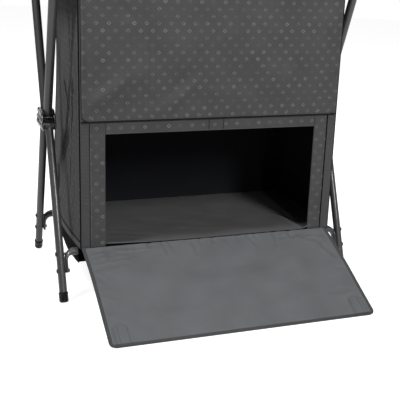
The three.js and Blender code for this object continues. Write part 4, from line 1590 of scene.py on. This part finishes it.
    def _tapes(self) -> None:
        """The loop tapes beside the doorways, and the corner piping of both walls."""
        sewn = Stitches(0.0026, 0.004)
        for storey in Storey:
            for side in Side:
                node = f"loop_tape_{storey.word}_{side.word}"
                low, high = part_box(node)
                bm = cloth_grid(self.surface, (low.x, low.z), (high.x, high.z), 0.0032, GAP)
                tape = settle(bm, f"{node}_piece", [self.wardrobe.tape])
                thicken(tape, 0.0009, 1)
                fit(tape, "front_wall", "loop_tape", node)
                for x in (low.x + 0.0016, high.x - 0.0016):
                    sewn.row(self.surface, (x, low.z + 0.003), (x, high.z - 0.003), 0.0012)
        fit(sewn.finish("tape_stitches", self.wardrobe), "front_wall", "loop_tape")
        for side in Side:
            for body, corner, finish in (
                ("front", self._front_corner(side), self.wardrobe.piping),
                ("back", self._back_corner(side), self.wardrobe.plain),
            ):
                self._piping(f"{body}_corner_{side.word}_piping", f"{body}_wall", corner, finish)

    def _front_corner(self, side: Side) -> Callable[[float], Vector]:
        """The line of a front corner, by height."""
        x = side.value * (self.places.side + self.bead_proud)
        return lambda z: Vector((x, self.places.front + self.bead_sunk, z))

    def _back_corner(self, side: Side) -> Callable[[float], Vector]:
        """The line of a back corner, by height, which is drawn in at its waist."""

        def line(z: float) -> Vector:
            """The corner's place at a height."""
            reach = self.box.reach(side, self.places.depth, z) + self.bead_proud
            return Vector((side.value * reach, self.places.back - self.bead_sunk, z))

        return line

    def _piping(
        self, name: str, body: str, line: Callable[[float], Vector], finish: Material, steps: int = 60
    ) -> None:
        """A piping cord sewn in an upright corner.

        Args:
            name: the piece's name.
            body: the body that it rides on.
            line: the place of its middle line, by height.
            finish: its material.
            steps: faces along it.
        """
        low, high = self.places.bottom + 0.001, self.places.top - 0.001
        stops = [line(low + (high - low) * k / steps) for k in range(steps + 1)]
        bm = bmesh.new()
        at = Matrix.Translation(stops[0])
        bmesh.ops.create_circle(bm, cap_ends=True, segments=10, radius=self.bead, matrix=at)
        face = bm.faces[:][0]
        for k in range(steps):
            made = bmesh.ops.extrude_face_region(bm, geom=[face], use_keep_orig=k == 0)["geom"]
            ring = only(Vert, made)
            bmesh.ops.translate(bm, vec=stops[k + 1] - stops[k], verts=ring)
            face = next(face for face in only(Face, made) if all(vert in ring for vert in face.verts))
        tidy_normals(bm)
        write_cut(bm, lambda spot: (spot.x, spot.z))
        fit(settle(bm, name, [finish]), body, "webbing")

    def _seams(self) -> None:
        """The bound seams that the doors turn on."""
        for storey in Storey:
            node = f"{storey.word}_door_seam"
            low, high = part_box(node)
            bm = cuboid(low, high)
            long = [e for e in bm.edges if abs((e.verts[0].co - e.verts[1].co).x) > 0.1]
            bmesh.ops.subdivide_edges(bm, edges=long, cuts=120, use_grid_fill=True)
            for vert in bm.verts:
                if vert.co.y < (low.y + high.y) / 2:
                    vert.co.y += 0.0003 + 0.0003 * noise.noise(Vector((vert.co.x * 60, 0.3, storey.value)))
            round_edges(bm, 0.0006, 2, 60)
            write_cut(bm, lambda spot: (spot.y + spot.z, spot.x))
            make(bm, node, self.wardrobe.seam, "front_wall", "webbing")

    def back_surface(self, x: float, z: float, lift: float) -> Vector:
        """The outside of the back wall, with the creases that the pinched corners pull in it."""
        half = self.box.reach(Side.RIGHT, self.places.depth, z)
        wave = creases_rise(self.back_creases, x, z) + ripple(x, z, 14, 0.0012, 6.1)
        inset = min(1.0, 12 * (1 - abs(x) / self.places.side))
        out = min(0.0016, max(-0.0016, wave)) * inset
        return Vector((x * half / self.places.side, self.places.back - 0.0004 + lift + out, z))

    def _back(self) -> None:
        """The back wall: one panel with hems at its foot and head and a band at the shelf."""
        places, wear = self.places, self.wardrobe
        side = places.side - 0.0004
        low, high = (-side, places.bottom + 0.0005), (side, places.top - 0.0005)
        bm = cloth_grid(self.back_surface, low, high, 0.005, -0.0008)
        wall = settle(bm, "back_wall_sheet", [wear.outer, wear.reverse])
        thicken(wall, 0.001, -1, 1)
        fit(wall, "back_wall", "outer_fabric", "fabric_back")
        sewn = Stitches()
        for word, low, high in (
            ("foot", places.bottom + 0.0006, places.bottom + self.box.hem),
            ("shelf", places.shelf - self.box.hem / 2, places.shelf + self.box.hem / 2),
            ("head", places.top - self.box.hem, places.top - 0.0006),
        ):
            band = cloth_grid(self.back_surface, (-side, low), (side, high), 0.0045, -0.0004)
            trim = settle(band, f"back_{word}_hem", [wear.plain])
            thicken(trim, 0.0008)
            fit(trim, "back_wall", "outer_fabric")
            level = high - 0.0025
            sewn.row(self.back_surface, (-side + 0.01, level), (side - 0.01, level), 0.0006)
        fit(sewn.finish("back_stitches", wear), "back_wall", "outer_fabric")


@dataclass
class Door(Assembly):
    """A fabric door: printed outside, lined, with a bound edge and patches at its free corners."""

    storey: Storey
    width: float = 0.592
    length: float = 0.2777
    thickness: float = 0.002
    binding: float = 0.0076
    binding_thickness: float = 0.0032
    corner: float = 0.014
    hinge_corner: float = 0.003  # of the lower door, beside its hinge
    lead: float = 0.001  # from the fold line back to the door's outer face
    ground: float = 0.0005
    skew: float = 0.0045  # how far to the left the lower door hangs at its hinge
    skew_length: float = 0.14
    cell: float = 0.0034  # of the panel's mesh
    patch: Pair = (0.036, 0.052)  # a patch's width and height
    patch_arch: float = 0.012
    patch_inset: float = 0.004  # from the bound edge

    def __post_init__(self) -> None:
        """Works out how far the door is open and the folds in its cloth."""
        self.level = (self.places.hinge_low, self.places.hinge_high)[self.storey.value]
        proud = (self.binding_thickness - self.thickness) / 2
        lift = self.lead - proud
        opening = 0.0
        if self.storey is Storey.LOWER:
            fall = math.asin((self.level - self.ground) / math.hypot(self.length, lift))
            opening = math.pi / 2 + fall + math.atan2(lift, self.length)
        at = Matrix.Translation((0, self.places.hinge, self.level))
        self.set_by = at @ Matrix.Rotation(math.pi / 2 + opening, 4, "X")
        self.creases = self._open_creases() if self.storey is Storey.LOWER else self._shut_creases()

    @staticmethod
    def _open_creases() -> Folds:
        """The open door's folds, across and down from its hinge. They sink on the lining's side."""
        puckers = []
        x = -0.27
        k = 0
        while x < 0.27:
            lean = 0.016 * math.sin(k * 2.4)
            reach = 0.018 + 0.034 * (0.5 + 0.5 * math.sin(k * 1.7)) ** 2
            width = 0.0038 + 0.0026 * (0.5 + 0.5 * math.sin(k * 2.9))
            puckers.append(Crease((x, -0.012), (x + lean, reach), width, 0.0022 + 0.0010 * math.sin(k * 1.1)))
            x += 0.011 + 0.016 * (0.5 + 0.5 * math.sin(k * 3.1))
            k += 1
        folds = creases(
            (-290, 17, -140, 9, 4.6, 6.4), (-290, 31, -150, 20, 5.2, 6.8), (-288, 48, -180, 32, 5.8, 6.6),
            (-286, 66, -205, 52, 7, 5.6), (-292, 80, -262, 110, 6, 2), (205, 12, 282, 22, 5, 5.2),
            (220, 20, 272, 46, 6, 5.8), (255, 36, 281, 100, 6, 5.2), (150, 20, 240, 14, 5, 2),
            (-286, 130, -255, 150, 6, 2), (-287, 190, -262, 180, 6, 2), (287, 140, 262, 128, 6, 2),
            (-100, 110, 140, 80, 20, 4), (-220, 190, 0, 150, 24, 3.6), (60, 200, 250, 150, 22, 3.6),
            (215, 205, 286, 196, 6, 3),
        )
        return tuple(puckers) + folds

    @staticmethod
    def _shut_creases() -> Folds:
        """The shut door's folds, across and up from its hinge. They rise inwards."""
        return creases(
            (-151, 0, -152, 270, 3.4, 1.8), (151, 0, 152, 270, 3, 0.7), (-172, 10, -178, 110, 8, -2.6),
            (-285, 30, -200, 90, 12, -3), (-262, 12, -215, 50, 7, 2.2), (-110, 20, -40, 90, 12, -2.6),
            (100, 200, 230, 120, 16, -1), (-60, 60, 60, 50, 14, -0.9), (-260, 240, -120, 200, 14, 0.9),
        )

    def inset(self, up: float) -> float:
        """How far the round corners draw the door's side edge in."""
        hinged = self.corner if self.storey is Storey.UPPER else self.hinge_corner
        near, corner = min((up - GAP, hinged), (self.length - up, self.corner))
        if near >= corner:
            return 0.0
        rest = corner - max(near, 0.0)
        return corner - math.sqrt(max(corner**2 - rest**2, 0.0))

    def surface(self, x: float, up: float, lift: float) -> Vector:
        """The door's outer face, by metres across, metres from the hinge, and metres out of it."""
        half = self.width / 2
        spread = (half - self.inset(up)) / half
        ease = min(1.0, max(0.0, (half - abs(x)) / 0.030)) ** 0.7
        free = min(1.0, max(0.0, (self.length - up) / 0.035)) ** 0.7
        sewn = min(1.0, max(0.0, up / 0.006))
        rise = creases_rise(self.creases, x, up) + ripple(x, up, 11, 0.0018, 3.0 + self.storey.value)
        rise += ripple(x, up, 30, 0.0005, 8.0 + self.storey.value)
        if self.storey is Storey.LOWER:
            rise = max(-0.0075, min(0.0001, -rise - 0.0008))
        else:
            rise = min(0.0012, rise) - 0.0026 * math.sin(math.pi * min(max(up / self.length, 0), 1)) * ease
        depth = rise * ease * free * sewn
        edge = 0.0012 * noise.noise(Vector((x * 5, up * 5, 2.2))) * free * sewn
        shift = 0.0
        if self.storey is Storey.LOWER:
            shift = self.skew * max(0.0, 1 - up / self.skew_length) ** 2
        return self.set_by @ Vector((x * spread - shift, up, -self.lead - depth - max(edge, 0) * 0.5 + lift))

    def build(self) -> None:
        """Makes the door's panel, binding, patches and stitches."""
        word = self.storey.word
        body = f"{word}_door"
        wear = self.wardrobe
        half = self.width / 2
        start, end = (-half + 0.0004, GAP + 0.0004), (half - 0.0004, self.length - 0.0004)
        bm = cloth_grid(self.surface, start, end, self.cell, -0.0001)
        panel = settle(bm, f"{word}_door_sheet", [wear.outer, wear.lining])
        thicken(panel, 0.0017, -1, 1)
        fit(panel, body, "lining_fabric", f"{word}_door_panel")
        binding = self._binding(word)
        fit(binding, body, "webbing", f"{word}_door_binding")
        sewn = Stitches(0.003, 0.0042, 0.0005)
        inside = -self.thickness - 0.0004
        line = self.binding - 0.0014
        low, high = 0.004, self.length - line
        reach = half - line
        for lift in (0.0007, inside):
            sewn.row(self.surface, (-reach, low), (-reach, high), lift)
            sewn.row(self.surface, (reach, low), (reach, high), lift)
            sewn.row(self.surface, (-reach, high), (reach, high), lift)
        sewn.row(self.surface, (-reach, low), (reach, low), 0.0007)
        patches = self._patches(word, sewn)
        stitches = sewn.finish(f"{word}_door_stitches", wear)
        fit(stitches, body, "webbing")

    def _binding(self, word: str) -> Piece:
        """The bound edge: a folded tape round the panel's rim, with a soft outer fold."""
        half = self.width / 2
        side, end = half - self.binding, self.length - self.binding
        bm = flat_cut((-half, GAP), (half, self.length), 140, 66)
        cut_out(bm, (-side, side), (end,), lambda spot: abs(spot.x) < side and spot.y < end)
        lay(bm, self.surface, (self.binding_thickness - self.thickness) / 2 - 0.0001)
        binding = settle(bm, f"{word}_door_bound_edge", [self.wardrobe.outer, self.wardrobe.binding])
        thicken(binding, self.binding_thickness - 0.0003, -1, 1)
        fold = binding.modifiers.new("fold", "BEVEL")
        fold.width = 0.0008
        fold.segments = 2
        fold.limit_method = "ANGLE"
        fold.angle_limit = math.radians(50)
        apply_modifiers(binding)
        return binding

    def _arch(self, side: Side) -> Surface:
        """A corner patch's place, by metres across, by share of its height, and by metres out."""
        wide, tall = self.patch
        near = self.width / 2 - self.binding - self.patch_inset
        low = self.length - self.binding - tall

        def place(x: float, share: float, lift: float) -> Vector:
            """The place of a point of the patch."""
            top = self.patch_arch * (1 - (2 * x / wide - 1) ** 2)
            up = low + self.patch_arch - top + (tall - self.patch_arch + top) * share
            return self.surface(side.value * (near - x), up, lift)

        return place

    def _patches(self, word: str, sewn: Stitches) -> list[Piece]:
        """Arched patches on the lining at both free corners, each with inner rows of stitches."""
        wide, tall = self.patch
        made = []
        for side in Side:
            arch = self._arch(side)

            def inside(x: float, share: float, lift: float, arch: Surface = arch) -> Vector:
                """The same place on the lining, facing inwards."""
                return arch(x, share, -self.thickness - 0.0001 - lift)

            bm = flat_cut((0, 0), (wide, 1), 12, 14)
            lay(bm, inside, 0.0, tall)
            patch = settle(bm, f"{word}_door_patch_{side.word}", [self.wardrobe.lining])
            thicken(patch, 0.0006)
            made.append(fit(patch, f"{word}_door", "lining_fabric"))
            lift = -self.thickness - 0.0009
            for x in (0.004, 0.012, wide - 0.004):
                sewn.row(arch, (x, 0.06), (x, 0.98), lift)
            stops = [0.003 + (wide - 0.006) * k / 6 for k in range(7)]
            for start, end in zip(stops, stops[1:]):
                sewn.row(arch, (start, 0.05), (end, 0.05), lift)
        return made


@dataclass
class Webbings(Assembly):
    """The black webbing: skirts under the side walls, and loops round the lower crossbars."""

    frame: TubeFrame
    box: FabricBox
    thickness: float = 0.0016
    loop_tail: float = 0.014
    mouth: float = -52.0  # in degrees: where a loop's round part starts
    opening: float = 76.0  # in degrees: how much of the bar it leaves free
    spare: float = 0.011  # how much wider the loops are than their solids, outwards
    lead: float = 0.005  # how much further forward the skirts start than their solids
    clear: float = 0.003  # between the skirts and the loops of the folded frame

    def build(self) -> None:
        """Makes the skirts and the loops."""
        for side in Side:
            self._skirt(side)
            for depth in Depth:
                self._loop(depth, side)

    def _skirt(self, side: Side) -> None:
        """A skirt of wide webbing that hangs under a side wall and waves a little."""
        low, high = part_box(f"side_skirt_{side.word}")
        places = self.places

        def place(deep: float, z: float, lift: float) -> Vector:
            """The place of a point of the cut."""
            y = places.front + deep
            share = min(max((high.z - z) / (high.z - low.z), 0), 1)
            wave = 0.0022 * math.sin(deep * 26 + side.value) + ripple(deep, z, 26, 0.0012, 4.4)
            x = self.box.reach(side, deep, places.bottom) - self.thickness / 2 + lift + (wave - 0.003) * share
            return Vector((side.value * x, y, z))

        start, end = (low.y - places.front - self.lead, low.z), (high.y - places.front, high.z)
        bm = cloth_grid(place, start, end, 0.004, 0.0)
        skirt = settle(bm, f"side_skirt_{side.word}_piece", [self.wardrobe.webbing])
        thicken(skirt, self.thickness, 0)
        fit(skirt, "carcass", "webbing", f"side_skirt_{side.word}")
        sewn = Stitches()
        for z in (high.z - 0.004, low.z + 0.003):
            sewn.row(place, (start[0] + 0.004, z), (end[0] - 0.006, z), self.thickness / 2 + 0.0001)
        stitches = sewn.finish(f"skirt_stitches_{side.word}", self.wardrobe)
        fit(stitches, "carcass", "webbing")
        for piece in (stitches, skirt):
            self._tuck(piece, places.middle - low.y + self.lead)
        f"side_wall_{side.word}"

    def _tuck(self, piece: Piece, reach: float) -> None:
        """Gives a skirt, or its stitches, its own copy of its mesh.

        Args:
            piece: the skirt, or its stitches.
            reach: how far the skirt reaches from the middle, along Y. It is not used.
        """
        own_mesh(piece)

    def _loop(self, depth: Depth, side: Side) -> None:
        """A loop of webbing round a crossbar: over the bar, and both ends sewn together under it."""
        node = f"lower_{depth.word}_loop_{side.word}"
        low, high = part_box(node)
        if side is Side.LEFT:
            low.x -= self.spare
        else:
            high.x += self.spare
        inner = self.frame.lower / 2 + GAP
        outer = inner + self.thickness
        ends = [(self.thickness * 0.2, z) for z in (-outer - self.loop_tail, -outer - 0.003)]
        turns = [math.radians(self.mouth + (360 - self.opening) * k / 30) for k in range(31)]
        points = ends + [(inner * math.cos(turn), inner * math.sin(turn)) for turn in turns]
        points += [(-y, z) for y, z in reversed(ends)]
        lengths = [0.0]
        for first, second in zip(points, points[1:]):
            lengths.append(lengths[-1] + math.dist(first, second))
        bm = bmesh.new()
        verts = [bm.verts.new((low.x, y, z)) for y, z in points]
        edges = [bm.edges.new(pair) for pair in zip(verts, verts[1:])]
        draw_out(bm, edges, Vector((high.x - low.x, 0, 0)), 8)

        def place(spot: Vector) -> Pair:
            """Where a point lies on the webbing."""
            near = min(range(len(points)), key=lambda k: math.dist((spot.y, spot.z), points[k]))
            return spot.x - low.x, lengths[near]

        write_cut(bm, place)
        bmesh.ops.recalc_face_normals(bm, faces=bm.faces[:])
        top = max(bm.faces, key=lambda f: f.calc_center_median().z)
        if top.normal.z < 0:
            bmesh.ops.reverse_faces(bm, faces=bm.faces[:])
        drawn = Matrix.Translation((0, 0, -self.frame.crossbar_reach))
        bmesh.ops.transform(bm, matrix=self.frame.set_by(Storey.LOWER, depth) @ drawn, verts=bm.verts[:])
        piece = make(bm, node, self.wardrobe.webbing, f"lower_{depth.word}", "webbing")
        thicken(piece, self.thickness - 0.0002)


@dataclass
class Sleeves(Assembly):
    """The cloth sleeves at the top of the box, which the upper crossbars run through."""

    frame: TubeFrame
    thickness: float = 0.001

    def build(self) -> None:
        """Makes both sleeves."""
        for depth in Depth:
            self._sleeve(depth)

    def _sleeve(self, depth: Depth) -> None:
        """A sleeve that is drawn tight on its bar, gathered at the ends, with a seam below."""
        node = f"upper_{depth.word}_sleeve"
        low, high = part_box(node)
        radius = self.frame.upper / 2 + GAP

        def place(x: float, angle: float, lift: float) -> Vector:
            """The place of a point of the cut."""
            puff = max(0.0, noise.noise(Vector((x * 30, angle * 1.2, depth.value))))
            puff *= 0.0007 * (0.4 + 0.6 * abs(math.sin(angle / 2)))
            gather = 0.0005 * math.sin(angle * 9) * math.exp(-(((abs(x) - high.x) / 0.02) ** 2))
            r = radius + lift + puff + max(0.0, gather)
            at = Vector((x, r * math.sin(angle), -r * math.cos(angle)))
            return self.frame.set_by(Storey.UPPER, depth) @ (at + Vector((0, 0, self.frame.upper_reach)))

        wide = high.x - low.x
        bm = flat_cut((-wide / 2, 0), (wide / 2, 2 * math.pi * 0.999), 150, 28)
        lay(bm, place, 0.0, radius)
        sleeve = settle(bm, f"{node}_piece", [self.wardrobe.outer])
        thicken(sleeve, self.thickness, 1)
        fit(sleeve, f"upper_{depth.word}", "outer_fabric", node)
        sewn = Stitches()
        for angle in (0.35, 2 * math.pi - 0.35):
            sewn.row(place, (low.x + 0.004, angle), (high.x - 0.006, angle), self.thickness + 0.0001)
        stitches = fit(sewn.finish(f"{node}_stitches", self.wardrobe), f"upper_{depth.word}", "outer_fabric")
        f"upper_{depth.word}_tube_piece"


@dataclass
class Tabletop(Assembly):
    """The loose tabletop: a laminated board in a plastic edge."""

    board_corner: float = 0.030
    edge_corner: float = 0.0333

    def build(self) -> None:
        """Makes the board and its edge."""
        low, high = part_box("tabletop_board")
        board = self._slab(low, high, self.board_corner)
        round_edges(board, 0.0008, 2, 60)
        make(board, "tabletop_board", self.wardrobe.laminate, "tabletop", "board_laminate")
        low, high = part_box("tabletop_edge")
        wall = high.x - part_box("tabletop_board")[1].x - GAP
        outer = self._slab(low, high, self.edge_corner)
        lids = [f for f in outer.faces if abs(f.normal.z) > 0.9]
        bmesh.ops.inset_region(outer, faces=lids, thickness=wall)
        lids = sorted((f for f in outer.faces if len(f.verts) > 8), key=lambda f: f.calc_center_median().z)
        bmesh.ops.bridge_loops(outer, edges=[e for f in (lids[0], lids[-1]) for e in f.edges])
        bmesh.ops.delete(outer, geom=[f for f in (lids[0], lids[-1]) if f.is_valid], context="FACES_ONLY")
        bmesh.ops.recalc_face_normals(outer, faces=outer.faces[:])
        round_edges(outer, 0.0011, 3, 60)
        make(outer, "tabletop_edge", self.wardrobe.edge, "tabletop", "black_plastic")

    @staticmethod
    def _slab(low: Vector, high: Vector, corner: float) -> BMesh:
        """A slab with round upright corners."""
        bm = cuboid(low, high)
        bevel(bm, [e for e in bm.edges if abs(e.verts[0].co.z - e.verts[1].co.z) > 0.001], corner, 12)
        return bm


@dataclass
class Studio:
    """The white studio: floor, soft lamps, and the camera where the photograph was taken from."""

    middle: float
    across: float = -0.62784
    before: float = 1.85155
    above: float = 0.75036
    yaw: float = math.radians(21.257)
    pitch: float = math.radians(17.041)
    roll: float = math.radians(2.293)
    focal_pixels: float = 826.62
    frame_pixels: float = 400.0
    axis_pixel: Pair = (223.24, 203.93)
    sensor: float = 36.0
    floor_radius: float = 9.0
    aim: float = 0.35  # the level that the lamps face

    def build(self) -> None:
        """Makes the camera, floor, world and lamps."""
        self._camera()
        self._floor()
        self._world()
        self._lamp("key", (0.70, -2.60, 2.0), (0.5, 1.3), 92)
        self._lamp("roof", (-0.1, 0.3, 3.2), (1.6, 1.6), 42)
        self._lamp("fill", (-1.75, -0.5, 3.1), (0.6, 0.6), 98)
        self._lamp("glint", (0.08, -2.6, 1.45), (0.05, 1.7), 8)
        self._lamp("back", (0.4, 3.0, 1.9), (2.4, 2.4), 30)

    def _camera(self) -> None:
        """The camera, from its solved place, turn and lens."""
        ahead = Vector(
            (
                math.sin(self.yaw) * math.cos(self.pitch),
                math.cos(self.yaw) * math.cos(self.pitch),
                -math.sin(self.pitch),
            )
        )
        level = Vector((math.cos(self.yaw), -math.sin(self.yaw), 0))
        upright = level.cross(ahead)
        right = math.cos(self.roll) * level + math.sin(self.roll) * upright
        up = -math.sin(self.roll) * level + math.cos(self.roll) * upright
        data = bpy.data.cameras.new("camera")
        data.sensor_width = self.sensor
        data.lens = self.focal_pixels / self.frame_pixels * self.sensor
        data.shift_x = (self.frame_pixels / 2 - self.axis_pixel[0]) / self.frame_pixels
        data.shift_y = (self.axis_pixel[1] - self.frame_pixels / 2) / self.frame_pixels
        camera = bpy.data.objects.new("camera", data)
        turn = Matrix((right, up, -ahead)).transposed().to_4x4()
        place = Vector((self.across, self.middle - self.before, self.above))
        camera.matrix_world = Matrix.Translation(place) @ turn
        bpy.context.scene.collection.objects.link(camera)
        bpy.context.scene.camera = camera

    def _floor(self) -> None:
        """A white floor that keeps a soft shadow."""
        bm = bmesh.new()
        below = Matrix.Translation((0, 0, -0.0006))
        bmesh.ops.create_circle(bm, cap_ends=True, segments=96, radius=self.floor_radius, matrix=below)
        board = Board("studio_floor")
        seen = board.node("ShaderNodeLightPath").outputs
        rays = board.math("MAXIMUM", seen["Is Camera Ray"], seen["Is Glossy Ray"])
        rays = board.math("MAXIMUM", rays, seen["Is Transmission Ray"])
        speck = board.noise(board.place(Pattern.SPACE), 60, 2)
        shade = board.mix(speck, (0.38, 0.38, 0.38, 1), (0.42, 0.42, 0.42, 1))
        board.dress(base_color=shade, roughness=0.9, emission_color=(1, 1, 1, 1))
        board.tree.links.new(board.math("MULTIPLY", rays, 0.9), board.shader.inputs["Emission Strength"])
        floor = settle(bm, "studio_floor", [board.material])

    def _world(self) -> None:
        """A plain bright room, white where the camera sees it."""
        world = bpy.data.worlds.new("studio")
        world.use_nodes = True
        bpy.context.scene.world = world
        tree = world.node_tree
        ground = tree.nodes["Background"]
        ground.inputs["Color"].default_value = (1, 1, 1, 1)
        path = tree.nodes.new("ShaderNodeLightPath")
        seen = tree.nodes.new("ShaderNodeMath")
        seen.operation = "MAXIMUM"
        tree.links.new(path.outputs["Is Camera Ray"], seen.inputs[0])
        tree.links.new(path.outputs["Is Transmission Ray"], seen.inputs[1])
        strength = tree.nodes.new("ShaderNodeMapRange")
        strength.inputs["To Min"].default_value = 0.12
        strength.inputs["To Max"].default_value = 1.0
        tree.links.new(seen.outputs[0], strength.inputs["Value"])
        tree.links.new(strength.outputs[0], ground.inputs["Strength"])

    def _lamp(self, name: str, at: tuple[float, float, float], size: Pair, power: float) -> None:
        """A soft lamp that faces the cupboard's middle."""
        data = bpy.data.lights.new(name, "AREA")
        data.shape = "RECTANGLE"
        data.size, data.size_y = size
        data.energy = power
        lamp = bpy.data.objects.new(name, data)
        place = Vector((at[0], self.middle + at[1], at[2]))
        aim = Vector((0, self.middle, self.aim)) - place
        lamp.matrix_world = Matrix.Translation(place) @ aim.to_track_quat("-Z", "Y").to_matrix().to_4x4()
        bpy.context.scene.collection.objects.link(lamp)


def main() -> None:
    """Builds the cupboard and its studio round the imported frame."""
    logging.basicConfig(level=logging.INFO, format="%(name)s: %(message)s")
    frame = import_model()
    bpy.context.scene.view_settings.view_transform = "Standard"
    places = Places.read(frame)
    wardrobe = Wardrobe()
    tubes = TubeFrame(places, wardrobe)
    tubes.build()
    Hubs(places, wardrobe, tubes).build()
    box = FabricBox(places, wardrobe)
    box.build()
    UprightWalls(places, wardrobe, box).build()
    for storey in Storey:
        Door(places, wardrobe, storey).build()
    Webbings(places, wardrobe, tubes, box).build()
    Sleeves(places, wardrobe, tubes).build()
    Tabletop(places, wardrobe).build()
    Studio(places.middle).build()


if __name__ == "__main__":
    main()
